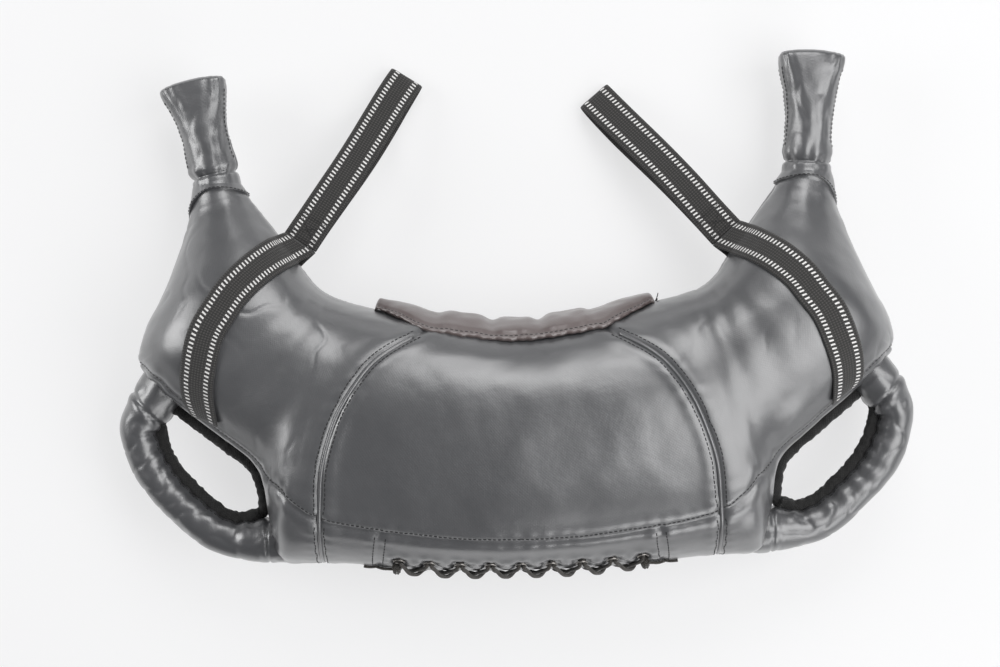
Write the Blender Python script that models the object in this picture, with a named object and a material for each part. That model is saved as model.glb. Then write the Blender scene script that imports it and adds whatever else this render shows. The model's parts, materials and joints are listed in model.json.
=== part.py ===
"""A crescent-shaped sandbag trainer lying face up on the floor.

Metres, +Z up, +X to the right hand side, +Y from the laced belly to the grips. The origin is on
the floor under the middle of the bag. Every seam, strap, cord and handle is placed on one
surface, skin(), which the tables of shares below shape from a few driving sizes.
"""

import math

import bmesh
import bpy
from mathutils import Matrix, Vector
from mathutils.bvhtree import BVHTree

# Bag
HALF_SPAN = 0.334  # from the middle to the outermost shoulder of an arm
REACH = 0.352  # from the laced belly to the mouth of an arm, along Y
BODY_HEIGHT = 0.150
FLAT_PRESS = 0.006  # how far the rounded underside is pressed flat by the floor
SKIN = 0.0015  # leatherette
SEAM_GAP = 0.0010
FILL_GAP = 0.0024  # between the leatherette and the filler bags inside
PIPING_RADIUS = 0.0018

# Neck pad
PAD_THICKNESS = 0.0056
PAD_EDGE = 0.0030
PAD_DIP = 0.0022  # how far the stitched creases draw the pad in

# Lacing
LACE_RADIUS = 0.0014
LACE_GAP = 0.0005
EYELET_FLANGE = 0.0014
EYELET_WALL = 0.0004
EYELET_SHEET = 0.0008
KNOT_RADIUS = 0.0042
KNOT_LENGTH = 0.0130
KNOT_SHARES = (0.02, 0.2, 0.5, 0.8, 0.98)
SEAT_GAP = 0.0003
BORE_OVERRUN = 0.003

# Webbing
WEBBING_WIDTH = 0.0325
WEBBING_THICKNESS = 0.0022
WEBBING_LIFT = 0.0013
LOOP_LENGTH = {"left": 0.180, "right": 0.173}
JUNCTION_HEIGHT = 0.058
JUNCTION_REACH = 0.012  # from the arm's inner edge to the strap hinge
STUB_LENGTH = 0.024  # where both layers of a loop are sewn together
LOOP_LEAN = {"left": math.radians(33), "right": math.radians(40)}

# Grips
GRIP_LENGTH = {"left": 0.094, "right": 0.106}
GRIP_HALF_WIDTH = 0.0285
GRIP_HALF_DEPTH = 0.0205
GRIP_LEAN = {"left": math.radians(12), "right": math.radians(4)}
BALL_GAP = 0.0009
CUFF_LENGTH = 0.010
CUFF_THICKNESS = 0.0012
CUFF_GAP = 0.0008

# Side handles
ROLL_RADIUS = 0.0155
ROLL_DEPTH = 0.037  # how far the roll bows out from the line through its two ends
HANDLE_LEVEL = 0.054
HANDLE_GAP = 0.0008
HOLE_SEAM_GAP = 0.0013
CORE_GAP = 0.0006
BINDING_WIDTH = 0.0070
BINDING_THICKNESS = 0.0040

# Stations across the crescent, from the middle of the belly to the mouth of an arm.
# Each pair holds shares of HALF_SPAN and REACH.
INNER_SHARES = (
    (0, 0.616), (0.120, 0.628), (0.240, 0.648), (0.344, 0.668), (0.419, 0.685), (0.455, 0.696),
    (0.488, 0.707), (0.515, 0.722), (0.539, 0.744), (0.560, 0.773), (0.575, 0.795),
    (0.599, 0.830), (0.626, 0.864), (0.653, 0.898), (0.683, 0.935), (0.710, 0.969), (0.728, 1),
)
OUTER_SHARES = (
    (0, 0.010), (0.180, 0.013), (0.359, 0.028), (0.519, 0.038), (0.627, 0.042), (0.657, 0.130),
    (0.689, 0.267), (0.784, 0.352), (0.898, 0.440), (0.973, 0.509), (1, 0.568),
    (0.985, 0.631), (0.952, 0.690), (0.919, 0.761), (0.889, 0.841), (0.868, 0.915), (0.859, 0.994),
)
STATIONS = len(INNER_SHARES) - 1
# Shares of BODY_HEIGHT at the same stations.
TOP_SHARES = (
    1, 0.995, 0.980, 0.955, 0.930, 0.910, 0.885, 0.865, 0.850,
    0.830, 0.800, 0.750, 0.685, 0.605, 0.525, 0.460, 0.440,
)
LOW_SHARES = (
    0, 0, 0, 0, 0, 0, 0.010, 0.022, 0.028, 0.031, 0.034, 0.040, 0.050, 0.068, 0.092, 0.120, 0.147,
)
# Where the widest level lies between low and top, and how square the two halves are.
LEVEL_SHARES = (0.42, 0.42, 0.42, 0.42, 0.42, 0.42, 0.42, 0.42, 0.42,
                0.42, 0.42, 0.43, 0.44, 0.46, 0.48, 0.50, 0.50)
TOP_SQUARE_SHARES = (2.3, 2.3, 2.3, 2.3, 2.3, 2.3, 2.25, 2.25, 2.25,
                     2.2, 2.2, 2.15, 2.1, 2.05, 2, 2, 2)
LOW_SQUARE_SHARES = (2.7, 2.7, 2.7, 2.7, 2.7, 2.7, 2.7, 2.6, 2.6,
                     2.5, 2.5, 2.4, 2.3, 2.2, 2.1, 2, 2)

# Seams. A turn is the angle round the section, in degrees: 0 at the inner edge, 90 on top,
# 180 at the outer edge and 270 underneath.
INNER_TURN, TOP_TURN, OUTER_TURN, FULL_TURN = 0, 90, 180, 360
PIPING_STATIONS = (1.5, 1.95, 3.0, 3.5, 3.27, 3.07, 3.0)  # at every thirty degrees of turn
GUSSET_TURNS = (141, 140.5, 139.5, 137, 131, 142, 162, 164, 164, 168, 180)  # by station
SEAMS_MEET = 10 / STATIONS  # where the two gusset seams run together on the outer edge
GUSSET_END_SHARE = 0.955  # how far the gusset reaches from the piping to where its seams meet
LACING_END = 2.1 / STATIONS
FILL_SPLIT = 3.3 / STATIONS
FILL_END = 14 / STATIONS
PAD_TURN = 30
PAD_FULL = 1.9 / STATIONS
PAD_END = 3.3 / STATIONS
PAD_END_SHARE = 0.25
PAD_SCALLOPS = 6

UPPER_EYELET_TURN = 157
SLIT_TURN = 172
LOWER_EYELET_TURN = 185
SLIT_HALF_TURN = 1.6
EYELETS_IN_A_ROW = 9
LAST_EYELET = 1.78 / STATIONS

# Strap wing from its sewn end to where it leaves the arm, as stations and turns.
WING_COURSE = {
    "left": ((7.4, 150), (8.0, 122), (8.5, 106), (9.25, 90), (10.1, 75), (10.6, 57), (10.85, 36),
             (10.95, 15)),
    "right": ((7.7, 152), (8.4, 120), (8.9, 104), (9.65, 89), (10.4, 75), (10.8, 57), (10.95, 36),
              (11, 15)),
}
JUNCTION_STATION = 11 / STATIONS
WING_ROOT_GAP = 0.0006
WING_PARTING = 0.0016
# Loop profile from the sewn stub to the tip: shares of LOOP_LENGTH and of JUNCTION_HEIGHT.
LOOP_TOP_SHARES = ((0.30, 0.86), (0.45, 0.74), (0.60, 0.61), (0.75, 0.47), (0.87, 0.35),
                   (0.95, 0.25), (0.99, 0.16))
LOOP_LOW_SHARES = ((0.98, 0.07), (0.93, 0.035), (0.84, 0.035), (0.72, 0.06), (0.58, 0.20),
                   (0.44, 0.42), (0.30, 0.66))
STUB_FALL_SHARE = 0.90

# Grip profile: shares of GRIP_LENGTH, GRIP_HALF_WIDTH and GRIP_HALF_DEPTH.
GRIP_SHARES = (
    (0.105, 0.715, 0.985), (0.17, 0.775, 1.02), (0.32, 0.730, 0.985), (0.50, 0.725, 0.960),
    (0.66, 0.790, 0.930), (0.80, 0.890, 0.880), (0.91, 0.975, 0.810), (0.975, 1, 0.740),
    (1, 0.940, 0.620),
)
GRIP_SQUARE_SHARES = (2, 2, 2, 2.05, 2.2, 2.5, 3, 3.4, 3.4)

# Side handle: where its two ends meet the bag, and its bow, in shares of the line between
# the ends and of ROLL_DEPTH.
ROLL_FOOT_STATIONS = (4.7, 8.85)
ROLL_SHARES = (
    (0, 0), (0.045, 0.24), (0.10, 0.47), (0.189, 0.72), (0.285, 0.84), (0.382, 0.91),
    (0.478, 0.97), (0.573, 0.985), (0.66, 0.94), (0.739, 0.85), (0.815, 0.71), (0.881, 0.53),
    (0.945, 0.28), (1, 0),
)
HOLE_START, HOLE_END = 5.45 / STATIONS, 8.0 / STATIONS
ROLL_BINDING_START_SHARE, ROLL_BINDING_END_SHARE = 0.19, 0.84

# Fineness of the faceted surfaces
PANEL_ROWS = 8
CENTRE_COLUMNS = 12
BELLY_COLUMNS = 4
GUSSET_COLUMNS = 14
GUSSET_ROWS = 6
CORNER_CROWDING = 1.25  # draws the columns of the gusset together at the belly's corner
MOUTH_COLUMNS = 8
FLAP_COLUMNS, FLAP_ROWS = 14, 4
SECTION_STEPS = 2 * PANEL_ROWS
FILL_STEPS = 14
CENTRE_FILL_COLUMNS, ARM_FILL_COLUMNS = 10, 21
PIPING_STEPS = 22
PAD_COLUMNS, PAD_ROWS = 24, 6
ROUND_STEPS = 12
EYELET_STEPS = 8
WEBBING_COLUMNS = 4
WING_STEPS = 14
LAYING_COLUMNS, LAYING_ROWS = 160, 72  # of the surface that webbing is laid on
ROOT_ANGLES = (-80, -55, -30, -10, 12, 26)  # of the round root of a grip's core
END_ANGLES = (20, 45, 75)  # of the round ends of a handle's core
HANDLE_STEPS = 12
BINDING_STEPS = 14
PROBE_SHARE = 0.001  # of the bag's length, for measuring slopes
SETTLE_ROUNDS = 6  # how often a seam's edge is corrected for its own slant

SIDES = {"left": -1, "right": 1}

LEATHERETTE = ("leatherette", (0.045, 0.050, 0.056), 0.34, 0.0)
BROWN_LEATHERETTE = ("brown_leatherette", (0.075, 0.052, 0.052), 0.50, 0.0)
WEBBING = ("webbing", (0.050, 0.047, 0.045), 0.85, 0.0)
BINDING = ("binding", (0.012, 0.012, 0.012), 0.80, 0.0)
CORD = ("cord", (0.075, 0.068, 0.062), 0.80, 0.0)
STEEL = ("eyelet_metal", (0.30, 0.29, 0.28), 0.35, 1.0)
FILL = ("filler_canvas", (0.30, 0.26, 0.20), 0.90, 0.0)
FOAM = ("foam", (0.12, 0.12, 0.13), 0.90, 0.0)


def clear_scene():
    for thing in list(bpy.data.objects):
        bpy.data.objects.remove(thing)


def material(finish):
    name, colour, roughness, metallic = finish
    made = bpy.data.materials.get(name)
    if made is None:
        made = bpy.data.materials.new(name)
        made.use_nodes = True
        shader = made.node_tree.nodes["Principled BSDF"]
        shader.inputs["Base Color"].default_value = (*colour, 1)
        shader.inputs["Roughness"].default_value = roughness
        shader.inputs["Metallic"].default_value = metallic
        made.diffuse_color = (*colour, 1)
    return made


def hinge(name, place, axis):
    """An empty on a joint's axis, with its X along the axis."""
    empty = bpy.data.objects.new(name, None)
    across = axis.cross(Vector((0, 0, 1)))
    frame = Matrix((axis, -across, Vector((0, 0, 1)))).transposed()
    empty.matrix_world = Matrix.Translation(place) @ frame.to_4x4()
    bpy.context.scene.collection.objects.link(empty)
    return empty


def finish_object(thing, finish, pivot=None):
    thing.data.materials.append(material(finish))
    bpy.context.scene.collection.objects.link(thing)
    if pivot is not None:
        bpy.context.view_layer.update()
        thing.parent = pivot
    return thing


def mesh_object(name, points, faces, finish, pivot=None):
    """A closed mesh facing out, given in world coordinates, with its origin on its pivot."""
    mesh = bpy.data.meshes.new(name)
    into = pivot.matrix_world.inverted() if pivot is not None else Matrix()
    mesh.from_pydata([into @ Vector(p) for p in points], [], faces)
    shape = bmesh.new()
    shape.from_mesh(mesh)
    bmesh.ops.recalc_face_normals(shape, faces=shape.faces)
    shape.to_mesh(mesh)
    shape.free()
    mesh.shade_smooth()
    mesh.set_sharp_from_angle(angle=math.radians(35))
    return finish_object(bpy.data.objects.new(name, mesh), finish, pivot)


def sheet(name, upper, lower, finish, pivot=None):
    """A closed slab between two grids of points that have the same rows and columns."""
    rows, columns = len(upper), len(upper[0])
    points = [p for grid in (upper, lower) for row in grid for p in row]

    def index(side, row, column):
        return (side * rows + row) * columns + column

    faces = []
    for row in range(rows - 1):
        for column in range(columns - 1):
            corners = ((row, column), (row, column + 1), (row + 1, column + 1), (row + 1, column))
            faces.append([index(0, *corner) for corner in corners])
            faces.append([index(1, *corner) for corner in reversed(corners)])
    rim = [(0, c) for c in range(columns)]
    rim += [(r, columns - 1) for r in range(1, rows)]
    rim += [(rows - 1, c) for c in range(columns - 2, -1, -1)]
    rim += [(r, 0) for r in range(rows - 2, 0, -1)]
    for here, there in zip(rim, rim[1:] + rim[:1]):
        faces.append([index(0, *there), index(0, *here), index(1, *here), index(1, *there)])
    return mesh_object(name, points, faces, finish, pivot)


def lofted(name, rings, finish, pivot=None, joined=False):
    """A closed surface through rings of points, capped at both ends or joined end to end."""
    count = len(rings[0])
    points = [p for ring in rings for p in ring]
    faces = []
    for r in range(len(rings) if joined else len(rings) - 1):
        here, there = r * count, (r + 1) % len(rings) * count
        for c in range(count):
            d = (c + 1) % count
            faces.append((here + c, here + d, there + d, there + c))
    if not joined:
        faces.append(tuple(reversed(range(count))))
        last = (len(rings) - 1) * count
        faces.append(tuple(range(last, last + count)))
    return mesh_object(name, points, faces, finish, pivot)


def cord_object(name, points, radius, finish):
    curve = bpy.data.curves.new(name, "CURVE")
    curve.dimensions = "3D"
    curve.bevel_depth = radius
    curve.bevel_resolution = 2
    curve.use_fill_caps = True
    spline = curve.splines.new("POLY")
    spline.points.add(len(points) - 1)
    for slot, p in zip(spline.points, points):
        slot.co = (*p, 1)
    return finish_object(bpy.data.objects.new(name, curve), finish)


def through(values, share):
    """Catmull-Rom curve through equally spaced values, at a share from 0 to 1."""
    last = len(values) - 1
    place = min(max(share, 0), 1) * last
    k = min(int(place), last - 1)
    t = place - k
    b, c = values[k], values[k + 1]
    a = values[k - 1] if k > 0 else b + (b - c)
    d = values[k + 2] if k + 2 <= last else c + (c - b)
    slope_b, slope_c = (c - a) / 2, (d - b) / 2
    return (
        b * (2 * t**3 - 3 * t**2 + 1)
        + slope_b * (t**3 - 2 * t**2 + t)
        + c * (3 * t**2 - 2 * t**3)
        + slope_c * (t**3 - t**2)
    )


def steps(count, start=0.0, end=1.0):
    return [start + (end - start) * k / count for k in range(count + 1)]


def mixed(a, b, share):
    return a + (b - a) * share


def mirrored(half, sign):
    """A table from the middle outwards, extended to the other side for smooth curves."""
    return [sign * v for v in reversed(half[1:])] + list(half)


INNER_X = mirrored([x * HALF_SPAN for x, y in INNER_SHARES], -1)
INNER_Y = mirrored([y * REACH for x, y in INNER_SHARES], 1)
OUTER_X = mirrored([x * HALF_SPAN for x, y in OUTER_SHARES], -1)
OUTER_Y = mirrored([y * REACH for x, y in OUTER_SHARES], 1)
TOPS = mirrored([share * BODY_HEIGHT for share in TOP_SHARES], 1)
LOWS = mirrored([share * BODY_HEIGHT for share in LOW_SHARES], 1)
LEVELS = mirrored(LEVEL_SHARES, 1)
TOP_SQUARES = mirrored(TOP_SQUARE_SHARES, 1)
LOW_SQUARES = mirrored(LOW_SQUARE_SHARES, 1)


def inner_edge(u):
    share = (u + 1) / 2
    return Vector((through(INNER_X, share), through(INNER_Y, share), 0))


def outer_edge(u):
    share = (u + 1) / 2
    return Vector((through(OUTER_X, share), through(OUTER_Y, share), 0))


def skin(u, turn, sink=0.0):
    """A point of the bag's surface. u runs from the left mouth (-1) to the right mouth (1)."""
    share = (u + 1) / 2
    inner, outer = inner_edge(u), outer_edge(u)
    across = outer - inner
    top, low = through(TOPS, share), max(through(LOWS, share), 0)
    level = mixed(low, top, through(LEVELS, share))
    c, s = math.cos(math.radians(turn)), math.sin(math.radians(turn))
    if s >= 0:
        square = through(TOP_SQUARES, share)
        z = level + (top - level - sink) * s ** (2 / square)
    else:
        square = through(LOW_SQUARES, share)
        press = FLAT_PRESS * (1 - abs(u))
        z = level - (level - low - sink + press) * (-s) ** (2 / square)
    half = across.length / 2 - sink
    side = math.copysign(abs(c) ** (2 / square), -c) * half
    place = (inner + outer) / 2 + across.normalized() * side
    place.z = max(z, low + sink)
    return place


def skin_frame(u, turn):
    """The unit directions along the bag, round its section and out of it."""
    along = (skin(u + PROBE_SHARE, turn) - skin(u - PROBE_SHARE, turn)).normalized()
    probe = math.degrees(PROBE_SHARE)
    round_ = (skin(u, turn + probe) - skin(u, turn - probe)).normalized()
    out = along.cross(round_).normalized()
    if out.dot(skin(u, turn) - section_middle(u)) < 0:
        out = -out
    return along, round_, out


def section_middle(u):
    share = (u + 1) / 2
    middle = (inner_edge(u) + outer_edge(u)) / 2
    middle.z = mixed(through(LOWS, share), through(TOPS, share), through(LEVELS, share))
    return middle


def run_of(u, turn):
    """Metres of skin for one unit of u."""
    return (skin(u + PROBE_SHARE, turn) - skin(u - PROBE_SHARE, turn)).length / (2 * PROBE_SHARE)


def turn_of(length, u):
    """The degrees of turn that a length takes near the edge of the section at u."""
    return math.degrees(length / ((outer_edge(u) - inner_edge(u)).length / 2))


def piping_u(turn):
    share = abs((turn + OUTER_TURN) % FULL_TURN - OUTER_TURN) / OUTER_TURN
    return through(PIPING_STATIONS, share) / STATIONS


def gusset_turn(u):
    return through(GUSSET_TURNS, min(abs(u) / SEAMS_MEET, 1))


def panel_turn(u, share):
    """A turn on a face panel, at a share from its inner edge to its gusset seam."""
    gap = turn_of(SEAM_GAP, u) / 2
    return mixed(gap, gusset_turn(u) - gap, share)


def past_piping(turn, way):
    """A panel's edge along the piping: way is 1 on the arm's side and -1 on the belly's."""
    u = piping_u(turn)
    probe = math.degrees(PROBE_SHARE)
    along = skin_frame(u, turn)[0]
    course = skin(piping_u(turn + probe), turn + probe) - skin(piping_u(turn - probe), turn - probe)
    slant = course.length / (course - along * course.dot(along)).length
    return u + way * slant * (PIPING_RADIUS + SEAM_GAP) / run_of(u, turn)


def panel_edge(share, way):
    """Where a face panel's edge along the piping is, at a share of the panel's height."""
    u = piping_u(TOP_TURN)
    for settle in range(SETTLE_ROUNDS):
        u = past_piping(panel_turn(u, share), way)
    return u


def skin_sheet(name, place, columns, rows, finish, over=0.0, under=SKIN):
    """A slab of the bag's surface. place(a, b) gives u and turn for shares a and b."""
    grids = []
    for sink in (over, under):
        grid = []
        for a in steps(columns):
            grid.append([skin(*place(a, b), sink) for b in steps(rows)])
        grids.append(grid)
    return sheet(name, *grids, finish)


def mirrored_turn(turn, front):
    return turn if front else FULL_TURN - turn


def centre_panel(name, front):
    def place(a, b):
        u = panel_edge(b, -1) * (2 * a - 1)
        return u, mirrored_turn(panel_turn(u, b), front)

    return skin_sheet(name, place, CENTRE_COLUMNS, PANEL_ROWS, LEATHERETTE)


def past_corner(start, column):
    """The columns between the piping and the gusset's end, closer together at the belly's corner."""
    return mixed(start, SEAMS_MEET, (column / GUSSET_COLUMNS) ** CORNER_CROWDING)


def arm_panel(name, side, front):
    """From the piping to the mouth of the arm."""
    def place(a, b):
        column = a * (GUSSET_COLUMNS + MOUTH_COLUMNS)
        if column < GUSSET_COLUMNS:
            u = past_corner(panel_edge(b, 1), column)
        else:
            u = mixed(SEAMS_MEET, 1, (column - GUSSET_COLUMNS) / MOUTH_COLUMNS)
        return u * side, mirrored_turn(panel_turn(u, b), front)

    return skin_sheet(name, place, GUSSET_COLUMNS + MOUTH_COLUMNS, PANEL_ROWS, LEATHERETTE)


def side_gusset(name, side, inner):
    """The gusset from the lacing to the piping, or from the piping to its end behind the handle."""
    def place(a, b):
        start = LACING_END + SEAM_GAP / run_of(LACING_END, OUTER_TURN)
        turn = OUTER_TURN
        for settle in range(SETTLE_ROUNDS):
            edge = past_piping(turn, -1 if inner else 1)
            if inner:
                u = mixed(start, edge, a)
            else:
                column = min(a * GUSSET_COLUMNS, GUSSET_END_SHARE * GUSSET_COLUMNS)
                u = past_corner(edge, column)
            first = gusset_turn(u) + turn_of(SEAM_GAP, u) / 2
            turn = mixed(first, FULL_TURN - first, b)
        return u * side, turn

    columns = BELLY_COLUMNS if inner else GUSSET_COLUMNS
    return skin_sheet(name, place, columns, GUSSET_ROWS, LEATHERETTE)


def lacing_flap(name, upper):
    def place(a, b):
        u = mixed(-LACING_END, LACING_END, a)
        seam = gusset_turn(u) + turn_of(SEAM_GAP, u) / 2
        if upper:
            turn = mixed(seam, SLIT_TURN - SLIT_HALF_TURN, b)
        else:
            turn = mixed(SLIT_TURN + SLIT_HALF_TURN, FULL_TURN - seam, b)
        return u, turn

    flap = skin_sheet(name, place, FLAP_COLUMNS, FLAP_ROWS, LEATHERETTE)
    for k, u in enumerate(eyelet_places()):
        turn = UPPER_EYELET_TURN if upper else LOWER_EYELET_TURN
        bore(flap, f"{name}_bore_{k + 1}", u, turn)
    return flap


def eyelet_places():
    return steps(EYELETS_IN_A_ROW - 1, -LAST_EYELET, LAST_EYELET)


def eyelet_bore():
    """The radius that two passes of the lace side by side need."""
    return 2 * LACE_RADIUS + LACE_GAP / 2 + LACE_GAP


def hole_radius():
    return eyelet_bore() + EYELET_WALL + SEAT_GAP


def eyelet_ring(u, turn, radius, height):
    """A ring of points round an eyelet's axis."""
    along, round_, out = skin_frame(u, turn)
    middle = skin(u, turn) + out * height
    ring = []
    for a in steps(EYELET_STEPS)[:-1]:
        angle = math.tau * a
        ring.append(middle + radius * (math.cos(angle) * along + math.sin(angle) * round_))
    return ring


def bore(flap, name, u, turn):
    """Cuts an eyelet's hole through a flap."""
    ends = (-SKIN - BORE_OVERRUN, BORE_OVERRUN)
    rings = [eyelet_ring(u, turn, hole_radius(), height) for height in ends]
    cutter = lofted(name, rings, LEATHERETTE)
    cutter.hide_render = True
    cutter.display_type = "WIRE"
    cut = flap.modifiers.new(name, "BOOLEAN")
    cut.operation = "DIFFERENCE"
    cut.object = cutter


def eyelet_flange():
    return eyelet_bore() + EYELET_WALL + EYELET_FLANGE


def eyelet(name, u, turn):
    """A flanged ring seated on the flap, its barrel through the flap's hole."""
    inner, barrel, flange = eyelet_bore(), eyelet_bore() + EYELET_WALL, eyelet_flange()
    top = SEAT_GAP + EYELET_SHEET
    profile = (
        (inner, -SKIN), (barrel, -SKIN), (barrel, SEAT_GAP), (flange, SEAT_GAP), (flange, top),
        (inner, top),
    )
    rings = [eyelet_ring(u, turn, radius, height) for radius, height in profile]
    return lofted(name, rings, STEEL, joined=True)


def lace_route():
    """One cord, across and back: it crosses itself outside the slit and climbs behind the flaps."""
    places = eyelet_places()
    apart = (LACE_RADIUS + LACE_GAP / 2) / run_of(0, SLIT_TURN)
    over = SEAT_GAP + EYELET_SHEET + LACE_GAP + LACE_RADIUS
    low = SEAT_GAP + LACE_RADIUS
    high = low + 2 * LACE_RADIUS + LACE_GAP
    shallow = -(SKIN + LACE_GAP + LACE_RADIUS)
    deep = shallow - 2 * LACE_RADIUS - LACE_GAP
    upper, lower = UPPER_EYELET_TURN, LOWER_EYELET_TURN
    last = EYELETS_IN_A_ROW - 1

    def spots(start, end, start_turn, end_turn, course):
        found = []
        for share, lift in course:
            u, turn = mixed(start, end, share), mixed(start_turn, end_turn, share)
            found.append(skin(u, turn, -lift))
        return found

    def crossing(start, end, height):
        """From an upper eyelet down over the slit to a lower one."""
        return spots(start, end, upper, lower, ((0.16, over), (0.5, height), (0.84, over)))

    def rung(start, end, depth):
        """In at a lower eyelet, up behind the flaps and out of an upper one."""
        course = ((0, over), (0, depth), (0.5, depth), (1, depth), (1, over))
        return spots(start, end, lower, upper, course)

    start = places[0] + apart
    route = [skin(start, upper, -shallow), skin(start, upper, -over)]
    for k in range(last):
        end = places[k + 1] + (apart if k + 1 < last else 0)
        route += crossing(places[k] + apart, places[k + 1] - apart, high)
        route += rung(places[k + 1] - apart, end, shallow)
    for k in range(last, 0, -1):
        start = places[k] - (apart if k < last else 0)
        route += crossing(start, places[k - 1] + apart, low)
        route += rung(places[k - 1] + apart, places[k - 1] - apart, deep)
    return route


def lace_knot(name, u, side):
    """The tied end of the lace, hanging under its eyelet along the flap."""
    hang = eyelet_flange() + LACE_GAP + KNOT_LENGTH / 2
    beside = side * LACE_RADIUS / run_of(u, UPPER_EYELET_TURN)
    rings = []
    for share in KNOT_SHARES:
        turn = UPPER_EYELET_TURN + turn_of(hang + KNOT_LENGTH * (share - 0.5), u)
        along, round_, out = skin_frame(u, turn)
        middle = skin(u + beside, turn, -SEAT_GAP - KNOT_RADIUS)
        radius = KNOT_RADIUS * math.sqrt(1 - (2 * share - 1) ** 2)
        ring = []
        for a in steps(EYELET_STEPS)[:-1]:
            angle = math.tau * a
            ring.append(middle + radius * (math.cos(angle) * along + math.sin(angle) * out))
        rings.append(ring)
    return lofted(name, rings, CORD)


def piping(name, side):
    """The raised welt from the neck pad over the front and the gusset to its lower seam."""
    start = PAD_TURN + turn_of(PIPING_RADIUS + PAD_EDGE, 0)
    end = FULL_TURN - gusset_turn(piping_u(OUTER_TURN))
    points = []
    for a in steps(PIPING_STEPS):
        turn = mixed(start, end, a)
        points.append(skin(side * piping_u(turn), turn))
    return cord_object(name, points, PIPING_RADIUS, LEATHERETTE)


def fill_sink(u, turn):
    """How deep the filler bag lies: it makes room for the lace behind the flaps."""
    wanted = SKIN + 3 * LACE_GAP + 4 * LACE_RADIUS + FILL_GAP
    base = SKIN + FILL_GAP
    middle = (UPPER_EYELET_TURN + LOWER_EYELET_TURN) / 2
    reach = (LOWER_EYELET_TURN - UPPER_EYELET_TURN) / 2
    beside = max(abs(turn - middle) - reach, 0) / reach
    beyond = max(abs(u) - LACING_END, 0) / LACING_END
    near = max(1 - beside, 0) * max(1 - 2 * beyond, 0)
    return mixed(base, wanted, min(2 * near, 1))


def filler(name, start, end, columns):
    rings = []
    for a in steps(columns):
        u = mixed(start, end, a)
        ring = []
        for b in steps(FILL_STEPS)[:-1]:
            turn = FULL_TURN * b
            ring.append(skin(u, turn, fill_sink(u, turn)))
        rings.append(ring)
    return lofted(name, rings, FILL)


def neck_pad(name):
    """The padded strip over the inner edge, drawn in by its creases."""
    def reach(u):
        taper = min(max((abs(u) - PAD_FULL) / (PAD_END - PAD_FULL), 0), 1)
        return PAD_TURN * mixed(1, PAD_END_SHARE, taper)

    grids = []
    for over in (True, False):
        grid = []
        for a in steps(PAD_COLUMNS):
            u = mixed(-PAD_END, PAD_END, a)
            row = []
            for b in steps(PAD_ROWS):
                lift = SEAM_GAP
                if over:
                    crown = 1 - (2 * b - 1) ** 2
                    crease = PAD_DIP * abs(math.cos(math.pi * PAD_SCALLOPS * a)) ** 4
                    lift += PAD_EDGE + crown * (PAD_THICKNESS - PAD_EDGE - crease)
                row.append(skin(u, reach(u) * (2 * b - 1), -lift))
            grid.append(row)
        grids.append(grid)
    return sheet(name, *grids, BROWN_LEATHERETTE)


def skin_tree():
    """The bag's surface as a fine mesh, for laying webbing on it."""
    columns, rows = LAYING_COLUMNS, LAYING_ROWS
    points, faces = [], []
    for u in steps(columns, -1, 1):
        points += [skin(u, FULL_TURN * b) for b in steps(rows)[:-1]]
    for c in range(columns):
        for r in range(rows):
            s = (r + 1) % rows
            faces.append((c * rows + r, c * rows + s, (c + 1) * rows + s, (c + 1) * rows + r))
    return BVHTree.FromPolygons(points, faces)


def strap_hinge_place(side):
    u = side * JUNCTION_STATION
    inner, outer = inner_edge(u), outer_edge(u)
    place = inner + (inner - outer).normalized() * JUNCTION_REACH
    place.z = JUNCTION_HEIGHT
    return place


def loop_direction(name):
    lean = LOOP_LEAN[name]
    return Vector((-SIDES[name] * math.sin(lean), math.cos(lean), 0))


def strap_wing(name, which, front, tree):
    """Webbing from its sewn end over the arm to the strap hinge, on the face or the back."""
    side = SIDES[which]
    half = WEBBING_WIDTH / 2
    joint = strap_hinge_place(side)
    forward = loop_direction(which)
    axis = forward.cross(Vector((0, 0, 1)))
    stations, turns = zip(*WING_COURSE[which])
    course = []
    for a in steps(WING_STEPS):
        u, turn = side * through(stations, a) / STATIONS, mirrored_turn(through(turns, a), front)
        course.append((skin(u, turn), skin_frame(u, turn)[2]))
    upper, lower = [], []
    for k, (middle, out) in enumerate(course):
        after = course[k + 1][0] if k + 1 < len(course) else joint
        before = course[max(k - 1, 0)][0]
        lateral = (after - before).cross(out).normalized()
        if lateral.dot(axis) < 0:
            lateral = -lateral
        if k + 2 >= len(course):
            lateral = mixed(lateral, axis, 1 / 2).normalized()
        top_row, low_row = [], []
        for across in steps(WEBBING_COLUMNS, -half, half):
            hit, normal = tree.find_nearest(middle + lateral * across)[:2]
            if normal.dot(out) < 0:
                normal = -normal
            low_row.append(hit + normal * WEBBING_LIFT)
            top_row.append(hit + normal * (WEBBING_LIFT + WEBBING_THICKNESS))
        upper.append(top_row)
        lower.append(low_row)
    sign = 1 if front else -1
    root = joint - forward * (WEBBING_THICKNESS + WING_ROOT_GAP)
    root.z += sign * WING_PARTING / 2
    row = [root + axis * across for across in steps(WEBBING_COLUMNS, -half, half)]
    lower.append(row)
    upper.append([p + Vector((0, 0, sign * WEBBING_THICKNESS)) for p in row])
    return sheet(name, upper, lower, WEBBING)


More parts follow.
